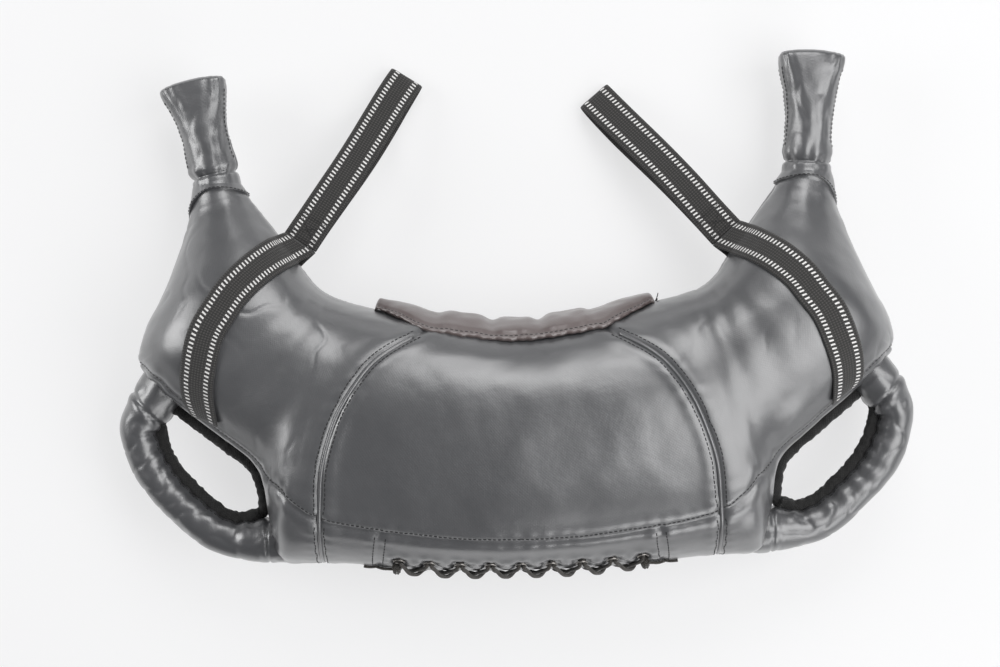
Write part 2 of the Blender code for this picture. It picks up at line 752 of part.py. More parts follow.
def strap_loop(name, which):
    """Both layers of the hand loop: sewn together at the hinge, then parted, and closed at the tip."""
    joint = strap_hinge_place(SIDES[which])
    forward = loop_direction(which)
    axis = forward.cross(Vector((0, 0, 1)))
    pivot = hinge(f"{which}_strap_hinge", joint, axis)
    half_thick, length = WEBBING_THICKNESS / 2, LOOP_LENGTH[which]
    start = Vector((0, JUNCTION_HEIGHT))
    crotch = Vector((STUB_LENGTH, JUNCTION_HEIGHT * STUB_FALL_SHARE))
    upper = [Vector((r * length, z * JUNCTION_HEIGHT)) for r, z in LOOP_TOP_SHARES]
    lower = [Vector((r * length, z * JUNCTION_HEIGHT)) for r, z in LOOP_LOW_SHARES]
    line = [crotch] + upper + lower + [crotch]
    outside, inside = [], []
    for k in range(1, len(line) - 1):
        ahead = (line[k + 1] - line[k - 1]).normalized()
        normal = Vector((-ahead.y, ahead.x))
        outside.append(line[k] + normal * half_thick)
        inside.append(line[k] - normal * half_thick)
    fall = (crotch - start).normalized()
    up = Vector((-fall.y, fall.x)) * WEBBING_THICKNESS
    round_end = []
    for a in steps(4):
        angle = math.pi * a
        round_end.append(start + up * math.cos(angle) - fall * WEBBING_THICKNESS * math.sin(angle))
    contour = [crotch + up] + outside + [crotch - up] + list(reversed(round_end))
    hole = [crotch] + inside
    points = []
    for across in (-WEBBING_WIDTH / 2, WEBBING_WIDTH / 2):
        for flat in contour + hole:
            place = joint + axis * across + forward * flat.x
            place.z = flat.y
            points.append(place)
    size, rim = len(points) // 2, len(contour)
    top_end, low_end = 0, len(outside) + 1
    faces = []
    for k in range(rim):
        m = (k + 1) % rim
        faces.append((k, m, size + m, size + k))
    for k in range(rim, size):
        m = k + 1 if k + 1 < size else rim
        faces.append((m, k, size + k, size + m))
    for shift in (0, size):
        for k in range(top_end, low_end):
            inner = rim + k
            after = rim + (k + 1) % len(hole)
            faces.append(tuple(shift + v for v in (k, k + 1, after, inner)))
        stub = [rim, low_end] + list(range(low_end + 1, rim)) + [top_end]
        faces.append(tuple(shift + v for v in stub))
    return mesh_object(name, points, faces, WEBBING, pivot)


def neck_cuff(name, side):
    """The folded hem round the mouth of an arm."""
    start = 1 - CUFF_LENGTH / run_of(1 - PROBE_SHARE, TOP_TURN)
    rings = []
    for u, sink in ((start, -CUFF_GAP), (1, -CUFF_GAP), (1, -CUFF_GAP - CUFF_THICKNESS),
                    (start, -CUFF_GAP - CUFF_THICKNESS)):
        ring = [skin(side * u, FULL_TURN * b, sink) for b in steps(SECTION_STEPS)[:-1]]
        rings.append(ring)
    return lofted(name, rings, LEATHERETTE, joined=True)


def ball_radius():
    """The rounded root of a grip, which turns inside the mouth of its arm."""
    return (outer_edge(1) - inner_edge(1)).length / 2 - SKIN - BALL_GAP


def grip_ring(middle, across, width, depth, square):
    ring = []
    for a in steps(ROUND_STEPS)[:-1]:
        c, s = math.cos(math.tau * a), math.sin(math.tau * a)
        x = math.copysign(abs(c) ** (2 / square), c) * width
        z = math.copysign(abs(s) ** (2 / square), s) * depth
        ring.append(middle + across * x + Vector((0, 0, z)))
    return ring


def grip(which):
    """The end grip: a leatherette sleeve, square at its tip, over a stuffed core with a round root."""
    side = SIDES[which]
    middle = section_middle(side)
    lean = GRIP_LEAN[which]
    forward = Vector((side * math.sin(lean), math.cos(lean), 0))
    across = forward.cross(Vector((0, 0, 1)))
    pivot = hinge(f"{which}_grip_hinge", middle, across)
    radius, length = ball_radius(), GRIP_LENGTH[which]

    def ring_at(reach, width, depth, square):
        return grip_ring(middle + forward * reach, across, width, depth, square)

    outer, inner = [], []
    for (share, width, depth), square in zip(GRIP_SHARES, GRIP_SQUARE_SHARES):
        width, depth = width * GRIP_HALF_WIDTH, depth * GRIP_HALF_DEPTH
        outer.append(ring_at(share * length, width, depth, square))
        back = SKIN if share > GRIP_SHARES[-3][0] else 0
        inner.append(ring_at(share * length - back, width - SKIN, depth - SKIN, square))
    inner.pop()
    lofted(f"{which}_grip_sleeve", list(reversed(inner)) + outer, LEATHERETTE, pivot)

    rings = []
    for angle in ROOT_ANGLES:
        t = math.radians(angle)
        rings.append(ring_at(radius * math.sin(t), radius * math.cos(t), radius * math.cos(t), 2))
    less = SKIN + CORE_GAP
    for (share, width, depth), square in list(zip(GRIP_SHARES, GRIP_SQUARE_SHARES))[1:-2]:
        width, depth = width * GRIP_HALF_WIDTH - less, depth * GRIP_HALF_DEPTH - less
        rings.append(ring_at(share * length, width, depth, square))
    lofted(f"{which}_grip_core", rings, FOAM, pivot)


def roll_path(side):
    """The line of a side handle's roll, as points with their outward directions, in plan."""
    feet = []
    for station in ROLL_FOOT_STATIONS:
        u = side * station / STATIONS
        step = outer_edge(u + side * PROBE_SHARE) - outer_edge(u - side * PROBE_SHARE)
        away = Vector((step.y, -step.x, 0)).normalized() * side
        feet.append(outer_edge(u) + away * (ROLL_RADIUS + HANDLE_GAP))
    chord = feet[1] - feet[0]
    out = Vector((chord.y, -chord.x, 0)).normalized() * side
    points = []
    for along, bow in ROLL_SHARES:
        point = feet[0] + chord * along + out * bow * ROLL_DEPTH
        point.z = HANDLE_LEVEL
        points.append(point)
    return points


def roll_frame(points, share, side):
    """The roll's point, its forward direction and its outward direction at a share of its line."""
    probe = PROBE_SHARE
    here = through(points, share)
    ahead = through(points, min(share + probe, 1)) - through(points, max(share - probe, 0))
    ahead.normalize()
    return here, ahead, Vector((ahead.y, -ahead.x, 0)) * side


def side_handle(which):
    """A stuffed roll, hinged at its two round ends, with a bound edge along the hand hole."""
    side = SIDES[which]
    points = roll_path(side)
    chord = (points[-1] - points[0]).normalized()
    pivot = hinge(f"{which}_handle_hinge", (points[0] + points[-1]) / 2, -side * chord)

    def ring_at(share, radius, slide=0.0):
        here, ahead, out = roll_frame(points, share, side)
        here = here + ahead * slide
        ring = []
        for a in steps(ROUND_STEPS)[:-1]:
            c, s = math.cos(math.tau * a), math.sin(math.tau * a)
            ring.append(here + out * radius * c + Vector((0, 0, radius * s)))
        return ring

    shares = steps(HANDLE_STEPS)
    outer = [ring_at(share, ROLL_RADIUS) for share in shares]
    inner = [ring_at(share, ROLL_RADIUS - SKIN) for share in reversed(shares)]
    lofted(f"{which}_handle_sleeve", outer + inner, LEATHERETTE, pivot, joined=True)

    core = ROLL_RADIUS - SKIN - CORE_GAP
    dome = ROLL_RADIUS + HANDLE_GAP - SEAT_GAP
    rings = []
    for angle in reversed(END_ANGLES):
        t = math.radians(angle)
        rings.append(ring_at(0, core * math.cos(t), -dome * math.sin(t)))
    rings += [ring_at(share, core) for share in shares]
    for angle in END_ANGLES:
        t = math.radians(angle)
        rings.append(ring_at(1, core * math.cos(t), dome * math.sin(t)))
    lofted(f"{which}_handle_core", rings, FOAM, pivot)

    upper, lower = [], []
    for share in steps(BINDING_STEPS, ROLL_BINDING_START_SHARE, ROLL_BINDING_END_SHARE):
        here, ahead, out = roll_frame(points, share, side)
        near = here - out * (ROLL_RADIUS + CORE_GAP)
        far = near - out * BINDING_WIDTH
        lift = Vector((0, 0, BINDING_THICKNESS / 2))
        upper.append([near + lift, far + lift])
        lower.append([near - lift, far - lift])
    sheet(f"{which}_handle_binding", upper, lower, BINDING, pivot)


def hole_binding(name, side):
    """The bound edge of the hand hole on the bag's side."""
    upper, lower = [], []
    for u in steps(BINDING_STEPS, HOLE_START, HOLE_END):
        edge = outer_edge(side * u)
        step = outer_edge(side * (u + PROBE_SHARE)) - outer_edge(side * (u - PROBE_SHARE))
        away = Vector((step.y, -step.x, 0)).normalized() * side
        near = edge + away * HOLE_SEAM_GAP
        far = near + away * (BINDING_WIDTH + PIPING_RADIUS)
        row = []
        for place in (near, far):
            place.z = HANDLE_LEVEL
            row.append(place)
        lift = Vector((0, 0, BINDING_THICKNESS / 2))
        upper.append([p + lift for p in row])
        lower.append([p - lift for p in row])
    return sheet(name, upper, lower, BINDING)


def set_down():
    """Moves everything so that the origin is on the floor under the middle of the whole."""
    bpy.context.view_layer.update()
    graph = bpy.context.evaluated_depsgraph_get()
    corners = []
    for thing in bpy.data.objects:
        if thing.type in ("MESH", "CURVE") and not thing.hide_render:
            shown = thing.evaluated_get(graph)
            corners += [shown.matrix_world @ v.co for v in shown.to_mesh().vertices]
            shown.to_mesh_clear()
    low, high = (Vector([pick(axis) for axis in zip(*corners)]) for pick in (min, max))
    shift = Vector(((low.x + high.x) / 2, (low.y + high.y) / 2, low.z))
    for thing in bpy.data.objects:
        if thing.parent is None:
            thing.location -= shift


def build():
    clear_scene()
    tree = skin_tree()
    gap = FILL_GAP / run_of(FILL_SPLIT, TOP_TURN)
    filler("centre_filler_bag", -FILL_SPLIT + gap, FILL_SPLIT - gap, CENTRE_FILL_COLUMNS)
    centre_panel("front_centre_panel", True)
    centre_panel("back_centre_panel", False)
    lacing_flap("upper_lacing_flap", True)
    lacing_flap("lower_lacing_flap", False)
    neck_pad("neck_pad")
    for k, u in enumerate(eyelet_places()):
        eyelet(f"upper_eyelet_{k + 1}", u, UPPER_EYELET_TURN)
        eyelet(f"lower_eyelet_{k + 1}", u, LOWER_EYELET_TURN)
    cord_object("lace", lace_route(), LACE_RADIUS, CORD)
    for which, side in SIDES.items():
        start, end = side * (FILL_SPLIT + gap), side * FILL_END
        filler(f"{which}_filler_bag", start, end, ARM_FILL_COLUMNS)
        arm_panel(f"{which}_front_arm_panel", side, True)
        arm_panel(f"{which}_back_arm_panel", side, False)
        side_gusset(f"{which}_belly_gusset", side, True)
        side_gusset(f"{which}_arm_gusset", side, False)
        piping(f"{which}_piping", side)
        neck_cuff(f"{which}_neck_cuff", side)
        lace_knot(f"{which}_lace_knot", side * LAST_EYELET, side)
        strap_wing(f"{which}_front_strap", which, True, tree)
        strap_wing(f"{which}_back_strap", which, False, tree)
        strap_loop(f"{which}_strap_loop", which)
        grip(which)
        side_handle(which)
        hole_binding(f"{which}_hole_binding", side)
    set_down()


build()
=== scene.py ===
"""The looks of a crescent-shaped sandbag trainer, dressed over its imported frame."""

import json
import math

import bpy
import numpy as np
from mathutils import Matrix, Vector, noise
from mathutils.bvhtree import BVHTree


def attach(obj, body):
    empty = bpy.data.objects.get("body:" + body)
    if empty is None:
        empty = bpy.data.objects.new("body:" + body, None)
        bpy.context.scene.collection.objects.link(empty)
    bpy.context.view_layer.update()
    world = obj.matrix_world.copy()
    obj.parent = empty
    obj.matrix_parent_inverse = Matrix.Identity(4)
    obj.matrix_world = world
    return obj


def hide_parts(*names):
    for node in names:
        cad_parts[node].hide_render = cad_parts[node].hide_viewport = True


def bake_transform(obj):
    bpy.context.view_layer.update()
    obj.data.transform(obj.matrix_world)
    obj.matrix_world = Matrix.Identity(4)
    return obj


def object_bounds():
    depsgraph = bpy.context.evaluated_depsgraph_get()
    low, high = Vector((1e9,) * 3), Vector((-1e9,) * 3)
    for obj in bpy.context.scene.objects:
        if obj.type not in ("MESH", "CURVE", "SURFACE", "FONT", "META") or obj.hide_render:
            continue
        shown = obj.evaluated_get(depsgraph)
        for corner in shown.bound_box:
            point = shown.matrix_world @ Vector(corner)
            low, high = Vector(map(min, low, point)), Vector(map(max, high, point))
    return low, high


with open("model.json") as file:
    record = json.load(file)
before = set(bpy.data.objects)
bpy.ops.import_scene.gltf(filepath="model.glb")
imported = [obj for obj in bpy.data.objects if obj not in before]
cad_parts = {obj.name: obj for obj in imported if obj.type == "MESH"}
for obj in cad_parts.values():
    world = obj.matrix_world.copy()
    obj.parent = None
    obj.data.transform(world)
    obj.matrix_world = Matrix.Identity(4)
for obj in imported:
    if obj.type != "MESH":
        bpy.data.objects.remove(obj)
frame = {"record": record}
cad_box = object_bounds()
scene = bpy.context.scene

SIDES = {"left": -1, "right": 1}
UP = np.array((0.0, 0.0, 1.0))
FLAT = np.array((1, 1, 0))  # takes the height off a place

# ---- the bag's surface
# Sizes and shares as in the part's source, so that the dressing fits its solids.
HALF_SPAN, REACH, BODY_HEIGHT, FLAT_PRESS = 0.334, 0.352, 0.15, 0.006
SHIFT_Y = 0.2285  # from the belly to the middle of the whole
STATIONS = 16  # from the middle of the belly to the mouth of an arm
INNER = (
    (0, 0.616), (0.12, 0.628), (0.24, 0.648), (0.344, 0.668), (0.419, 0.685), (0.455, 0.696),
    (0.488, 0.707), (0.515, 0.722), (0.539, 0.744), (0.56, 0.773), (0.575, 0.795),
    (0.599, 0.83), (0.626, 0.864), (0.653, 0.898), (0.683, 0.935), (0.71, 0.969), (0.728, 1),
)
OUTER = (
    (0, 0.01), (0.18, 0.013), (0.359, 0.028), (0.519, 0.038), (0.627, 0.042), (0.657, 0.13),
    (0.689, 0.267), (0.784, 0.352), (0.898, 0.44), (0.973, 0.509), (1, 0.568),
    (0.985, 0.631), (0.952, 0.69), (0.919, 0.761), (0.889, 0.841), (0.868, 0.915), (0.859, 0.994),
)
TOPS = (1, 0.995, 0.98, 0.955, 0.93, 0.91, 0.885, 0.865, 0.85, 0.83, 0.8, 0.75, 0.685,
        0.605, 0.525, 0.46, 0.44)
LOWS = (0, 0, 0, 0, 0, 0, 0.01, 0.022, 0.028, 0.031, 0.034, 0.04, 0.05, 0.068, 0.092, 0.12,
        0.147)
LEVELS = (0.42,) * 11 + (0.43, 0.44, 0.46, 0.48, 0.5, 0.5)
TOP_SQUARES = (2.3,) * 6 + (2.25, 2.25, 2.25, 2.2, 2.2, 2.15, 2.1, 2.05, 2, 2, 2)
LOW_SQUARES = (2.7,) * 7 + (2.6, 2.6, 2.5, 2.5, 2.4, 2.3, 2.2, 2.1, 2, 2)
PIPING = (1.5, 1.95, 3.0, 3.5, 3.27, 3.07, 3.0)
# The turn of the seam between front and gusset, by station, on the photo's line.
GUSSET = (133, 132.5, 131, 127, 118, 125, 149, 154, 152, 155, 180)
SEAMS_MEET, LACING_END = 10 / STATIONS, 2.1 / STATIONS
SLIT_TURN, UPPER_TURN, LOWER_TURN = 172, 157, 185
EYELETS, LAST_EYELET = 9, 1.78 / STATIONS
EYELET_SPOTS = [-LAST_EYELET + k * LAST_EYELET / 4 for k in range(EYELETS)]


def both(half, sign=1, scale=1.0):
    """Values from the belly to one mouth, mirrored to run from mouth to mouth."""
    half = np.array(half, float) * scale
    return np.concatenate((sign * half[:0:-1], half))


(INNER_X, INNER_Y), (OUTER_X, OUTER_Y) = (
    (both([x for x, y in edge], -1, HALF_SPAN), both([y for x, y in edge], 1, REACH))
    for edge in (INNER, OUTER))
TOP_Z, LOW_Z = both(TOPS, 1, BODY_HEIGHT), both(LOWS, 1, BODY_HEIGHT)
LEVEL, TOP_SQ, LOW_SQ = both(LEVELS), both(TOP_SQUARES), both(LOW_SQUARES)


def through(values, share):
    """A smooth curve through equally spaced values, rows of numbers or points."""
    values = np.asarray(values, float)
    share = np.asarray(share, float)
    last = len(values) - 1
    place = np.clip(share, 0, 1) * last
    k = np.minimum(place.astype(int), last - 1)
    t = place - k
    wide = np.concatenate(([2 * values[0] - values[1]], values, [2 * values[-1] - values[-2]]))
    a, b, c, d = wide[k], wide[k + 1], wide[k + 2], wide[k + 3]
    if values.ndim > 1:
        t = t[..., None]
    return (b * (2 * t**3 - 3 * t**2 + 1) + (c - a) / 2 * (t**3 - 2 * t**2 + t)
            + c * (3 * t**2 - 2 * t**3) + (d - b) / 2 * (t**3 - t**2))


def skin(u, turn, lift=0.0):
    """Points of the bag's surface. u runs from mouth to mouth, turn is degrees round a section."""
    u, turn = np.broadcast_arrays(np.asarray(u, float), np.asarray(turn, float))
    s = (u + 1) / 2
    ix, iy, ox, oy = (through(t, s) for t in (INNER_X, INNER_Y, OUTER_X, OUTER_Y))
    top, low = through(TOP_Z, s), np.maximum(through(LOW_Z, s), 0)
    level = low + (top - low) * through(LEVEL, s)
    c, q = np.cos(np.radians(turn)), np.sin(np.radians(turn))
    square = np.where(q >= 0, through(TOP_SQ, s), through(LOW_SQ, s))
    rise = np.abs(q) ** (2 / square)
    press = FLAT_PRESS * (1 - np.abs(u))
    z = np.where(q >= 0, level + (top - level + lift) * rise,
                 level - (level - low + lift + press) * rise)
    ax, ay = ox - ix, oy - iy
    size = np.hypot(ax, ay)
    half = size / 2 + lift
    side = -np.sign(c) * np.abs(c) ** (2 / square) * half
    x = (ix + ox) / 2 + ax / size * side
    y = (iy + oy) / 2 + ay / size * side - SHIFT_Y
    return np.stack((x, y, np.maximum(z, low - lift)), -1)


def piping_u(turn):
    """Where the welt beside the centre panel lies at each turn."""
    share = np.abs((np.asarray(turn, float) + 180) % 360 - 180) / 180
    return through(PIPING, share) / STATIONS


def gusset_turn(u):
    """The turn of the seam between front and gusset."""
    return through(GUSSET, np.minimum(np.abs(u) / SEAMS_MEET, 1))


def unit(v):
    return v / np.maximum(np.linalg.norm(v, axis=-1, keepdims=True), 1e-12)


def heading(points):
    """The direction of a line at each of its points."""
    return unit(np.gradient(points, axis=0))


def bell(distance, width):
    return np.exp(-((distance / width) ** 2))


def rough(points, size, seed=0.0):
    """Smooth noise from -1 to 1, with bumps of about that size in metres."""
    flat = points.reshape(-1, 3) / size + seed
    return np.array([noise.noise(Vector(p)) for p in flat]).reshape(points.shape[:-1])


# ---- materials
class Graph:
    """A material, with short names for building its nodes."""

    def __init__(self, name, colour, roughness, metallic=0.0):
        self.made = bpy.data.materials.new(name)
        self.made.use_nodes = True
        self.made.diffuse_color = (*colour, 1)
        self.nodes, self.links = self.made.node_tree.nodes, self.made.node_tree.links
        self.shader = self.nodes["Principled BSDF"]
        self.set("Base Color", (*colour, 1))
        self.set("Roughness", roughness)
        self.set("Metallic", metallic)
        coords = self.put("TexCoord").outputs
        self.cut, self.spot = coords["UV"], coords["Object"]

    def set(self, name, value):
        self.shader.inputs[name].default_value = value

    def put(self, kind, inputs=(), **settings):
        node = self.nodes.new("ShaderNode" + kind)
        for key, value in settings.items():
            setattr(node, key, value)
        for key, value in dict(inputs).items():
            if isinstance(value, bpy.types.NodeSocket):
                self.links.new(value, node.inputs[key])
            else:
                node.inputs[key].default_value = value
        return node

    def noise(self, scale, detail, roughness=0.5, source=None):
        return self.put("TexNoise", {"Vector": source or self.spot, "Scale": scale,
                                     "Detail": detail, "Roughness": roughness}).outputs["Fac"]

    def bands(self, period, turn, distortion=0.0):
        """Stripes with that period in metres, turned by that many degrees."""
        spun = self.put("Mapping", {"Vector": self.cut})
        spun.inputs["Rotation"].default_value = (0, 0, math.radians(turn))
        return self.put("TexWave", {"Vector": spun.outputs[0], "Scale": math.tau / 20 / period,
                                    "Distortion": distortion}).outputs["Fac"]

    def math(self, operation, a, b=0.0):
        return self.put("Math", {0: a, 1: b}, operation=operation).outputs[0]

    def times(self, a, b):
        return self.math("MULTIPLY", a, b)

    def plus(self, a, b):
        return self.math("ADD", a, b)

    def spread(self, value, low, high, start=0.0, end=1.0):
        return self.put("MapRange", {"Value": value, "From Min": start, "From Max": end,
                                     "To Min": low, "To Max": high}).outputs[0]

    def blend(self, factor, a, b):
        a, b = ((*v, 1) if isinstance(v, tuple) else v for v in (a, b))
        return self.put("Mix", {0: factor, 6: a, 7: b}, data_type="RGBA").outputs[2]

    def bump(self, height, distance, strength=1.0, before=None):
        inputs = {"Height": height, "Distance": distance, "Strength": strength}
        if before is not None:
            inputs["Normal"] = before
        return self.put("Bump", inputs).outputs[0]

    def into(self, name, value):
        self.links.new(value, self.shader.inputs[name])


COAT_IOR, CLOTH_PITCH, CLOTH_DEPTH = 1.7, 0.0019, 0.00005


def leatherette(name, colour, worn, low, high, gloss):
    """Coated cloth: a fine diagonal weave under the coat, grain, soft creases and wear."""
    g = Graph(name, colour, (low + high) / 2)
    for socket, value in (("Specular IOR Level", gloss), ("Coat Weight", gloss),
                          ("Coat IOR", COAT_IOR), ("Coat Roughness", low)):
        g.set(socket, value)
    cloud, fine, crease = g.noise(9, 4), g.noise(900, 2), g.noise(75, 5, 0.62)
    g.into("Base Color", g.blend(g.spread(cloud, 0, 1, 0.35, 0.75), colour, worn))
    handled = g.plus(cloud, g.times(crease, 0.6))
    g.into("Roughness", g.spread(handled, low, high, 0.5, 1.1))
    cloth = g.times(g.bands(CLOTH_PITCH, 45), g.bands(CLOTH_PITCH, -45))
    normal = g.bump(crease, 0.0011, 0.5)
    normal = g.bump(cloth, CLOTH_DEPTH, 1.0, normal)
    g.into("Normal", g.bump(fine, 0.00006, 0.7, normal))
    return g.made


SHEEN = 0.2  # of webbing, tape, cord and thread
DASH_ROW, DASH_PITCH, DASH_SHARE, DASH_SLANT = (0.0074, 0.0117), 0.0036, 0.42, 45.0
RIB_PITCH, WEFT_PITCH = 0.0027, 0.0022


def webbing_material():
    """Ribbed webbing: a dotted middle, two rows of light stitches and plain dark edges."""
    g = Graph("webbing_cloth", (0.03, 0.028, 0.027), 0.85)
    split = g.put("SeparateXYZ", {0: g.cut})
    along, off = split.outputs[0], split.outputs[1]
    across = g.math("ABSOLUTE", off)
    row = g.times(g.math("GREATER_THAN", across, DASH_ROW[0]),
                  g.math("LESS_THAN", across, DASH_ROW[1]))
    slanted = g.plus(g.math("DIVIDE", along, DASH_PITCH), g.times(off, DASH_SLANT))
    beat = g.math("FRACT", slanted)
    wobble = g.spread(g.noise(420, 1, source=g.cut), -0.07, 0.07)
    light = g.times(row, g.math("LESS_THAN", g.plus(beat, wobble), DASH_SHARE))
    rib = g.times(g.math("FRACT", g.math("DIVIDE", off, RIB_PITCH)), 2.0)
    ridge = g.math("SUBTRACT", 1.0, g.math("ABSOLUTE", g.math("SUBTRACT", rib, 1.0)))
    weft = g.math("FRACT", g.math("DIVIDE", along, WEFT_PITCH))
    dot = g.times(ridge, g.math("GREATER_THAN", weft, 0.45))
    fuzz = g.noise(1400, 2)
    ground = g.blend(g.times(dot, 0.9), (0.009, 0.009, 0.009), (0.075, 0.071, 0.068))
    ground = g.blend(g.times(fuzz, 0.35), ground, (0.06, 0.057, 0.054))
    g.into("Base Color", g.blend(light, ground, (0.74, 0.73, 0.72)))
    height = g.plus(g.times(dot, 0.5), light)
    g.into("Normal", g.bump(g.plus(height, g.times(fuzz, 0.4)), 0.0005, 0.8))
    g.set("Sheen Weight", SHEEN)
    return g.made


def cloth_material(name, colour, light, period, depth):
    """Plain woven tape or braid, with a raised weave and loose fibres."""
    g = Graph(name, colour, 0.9)
    weave = g.times(g.bands(period, 45, 0.4), g.bands(period, -45, 0.4))
    fuzz = g.noise(1100, 3)
    g.into("Base Color", g.blend(g.times(weave, fuzz), colour, light))
    g.into("Normal", g.bump(g.plus(weave, fuzz), depth, 0.9))
    g.set("Sheen Weight", SHEEN)
    return g.made


def metal_material():
    g = Graph("darkened_metal", (0.2, 0.19, 0.18), 0.32, 1.0)
    worn = g.noise(500, 3)
    g.into("Base Color", g.blend(worn, (0.1, 0.095, 0.09), (0.42, 0.4, 0.38)))
    g.into("Roughness", g.spread(worn, 0.22, 0.5))
    return g.made


GREY = leatherette("grey_leatherette", (0.06, 0.061, 0.065), (0.07, 0.071, 0.075),
                   0.31, 0.47, 1.0)
BROWN = leatherette("brown_leatherette", (0.08, 0.056, 0.053), (0.115, 0.083, 0.079),
                    0.36, 0.5, 0.9)
WEBBING = webbing_material()
TAPE = cloth_material("binding_tape", (0.01, 0.01, 0.01), (0.045, 0.043, 0.042), 0.0016, 0.0004)
CORD = cloth_material("braided_cord", (0.03, 0.027, 0.024), (0.2, 0.18, 0.16), 0.0013, 0.0005)
THREAD = cloth_material("thread", (0.018, 0.018, 0.019), (0.085, 0.085, 0.085), 0.0006, 0.0002)
METAL = metal_material()


# ---- mesh building
def show(name, data, spot=(0, 0, 0), turn=(0, 0, 0)):
    """Puts an object into the scene."""
    made = bpy.data.objects.new(name, data)
    made.location, made.rotation_euler = spot, turn
    scene.collection.objects.link(made)
    return made


def mesh_piece(name, points, faces, made, uvs):
    mesh = bpy.data.meshes.new(name)
    mesh.from_pydata([tuple(p) for p in points], [], faces)
    layer = mesh.uv_layers.new(name="cut")
    corners = np.zeros(len(mesh.loops), dtype=np.int32)
    mesh.loops.foreach_get("vertex_index", corners)
    layer.data.foreach_set("uv", np.asarray(uvs, np.float32)[corners].ravel())
    mesh.materials.append(made)
    mesh.shade_smooth()
    return show(name, mesh)


def cut_uv(along, across):
    """Material coordinates in metres, along a grid's rows and across them."""
    return np.stack(np.broadcast_arrays(along[:, None], across[None]), -1)


def grid_piece(name, grid, made, uv, caps=True, flip=False):
    """A surface through rows of points, each row a closed ring."""
    rows, columns = grid.shape[:2]
    index = np.arange(rows * columns).reshape(rows, columns)
    index = np.hstack((index, index[:, :1]))
    a, b, c, d = index[:-1, :-1], index[:-1, 1:], index[1:, 1:], index[1:, :-1]
    faces = np.stack((a, d, c, b) if flip else (a, b, c, d), -1).reshape(-1, 4).tolist()
    if caps:
        ends = [list(index[0, :columns]), list(index[-1, :columns][::-1])]
        faces += [[int(i) for i in (e if flip else e[::-1])] for e in ends]
    return mesh_piece(name, grid.reshape(-1, 3), faces, made, uv.reshape(-1, 2))


def run(points):
    """Length along a line of points, from its start."""
    legs = np.linalg.norm(np.diff(points, axis=0), axis=1)
    return np.concatenate(([0], np.cumsum(legs)))


def along_line(points, legs, reach):
    """Points at that reach along a line, whose own points lie at these legs."""
    return np.stack([np.interp(reach, legs, points[:, i]) for i in range(3)], -1)


def eased(line, rounds):
    """A line with its small wobbles smoothed away."""
    line = line.copy()
    for _ in range(rounds):
        line[1:-1] = (line[:-2] + 2 * line[1:-1] + line[2:]) / 4
    return line


def tube(name, points, made, sizes, ups, steps=16, wobble=0.0, seed=0.0, caps=True):
    """A tube along a line. sizes is its radius, or half its width and half its height."""
    points = np.asarray(points, float)
    ahead = heading(points)
    ups = unit(ups - ahead * np.sum(ups * ahead, -1, keepdims=True))
    sides = np.cross(ahead, ups)
    angle = np.arange(steps) / steps * math.tau
    sizes = np.broadcast_to(np.asarray(sizes, float), (len(points), 2))
    grid = (points[:, None] + sides[:, None] * (np.cos(angle)[None, :, None] * sizes[:, None, :1])
            + ups[:, None] * (np.sin(angle)[None, :, None] * sizes[:, None, 1:]))
    if wobble:
        grid = grid + unit(grid - points[:, None]) * (rough(grid, 0.004, seed) * wobble)[..., None]
    return grid_piece(name, grid, made, cut_uv(run(points), angle * sizes.mean()), caps=caps)


def merge(name, pieces):
    """One object out of several meshes."""
    points, faces, uvs, start = [], [], [], 0
    for piece in pieces:
        mesh = piece.data
        points += [tuple(v.co) for v in mesh.vertices]
        faces += [[i + start for i in p.vertices] for p in mesh.polygons]
        flat = np.zeros((len(mesh.vertices), 2))
        if mesh.uv_layers:
            for loop, spot in zip(mesh.loops, mesh.uv_layers[0].data):
                flat[loop.vertex_index] = spot.uv
        uvs.append(flat)
        start += len(mesh.vertices)
    joined = mesh_piece(name, points, faces, pieces[0].data.materials[0], np.vstack(uvs))
    for piece in pieces:
        bpy.data.objects.remove(piece)
    return joined


def dress(piece, slot, *nodes):
    """Hides the solids that a piece stands for; its slot is not used."""
    if nodes:
        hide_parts(*nodes)


def place(piece, body, slot, *nodes):
    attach(piece, body)
    dress(piece, slot, *nodes)


def hinge_at(name):
    """Where a joint's hinge lies."""
    joints = frame["record"]["behaviour"]["joints"]
    return np.array(next(j["pos_m"] for j in joints if j["name"] == name), float)


def bend_at(piece):
    """Bakes a piece's transform into its mesh."""
    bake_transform(piece)


# ---- camera and light
LENS, SENSOR = 65.1, 36
CAMERA_SPOT, CAMERA_TURN = (-0.0137, -0.0163, 1.67), -1.3
FLOOR_HALF, FLOOR_DROP = 4, 0.0005
PAPER, GLOW, GLOW_SHARE = (0.84, 0.84, 0.845), (0.955, 0.955, 0.96, 1), 0.68
# Name, place, width and height, and power in watts of each lamp. All aim at the bag.
LAMPS = (
    ("right", (1.15, -0.05, 1.5), (1.6, 1.6), 26), ("back", (0.3, 1.65, 1.4), (1.3, 1.2), 19),
    ("left", (-1.75, 0.45, 0.85), (1.2, 0.9), 17), ("front", (0.95, -1.55, 0.9), (1.5, 0.8), 13),
)
LAMP_AIM = Vector((0, 0, 0.05))
SKY, SKY_STRENGTH = (0.95, 0.97, 1, 1), 0.15


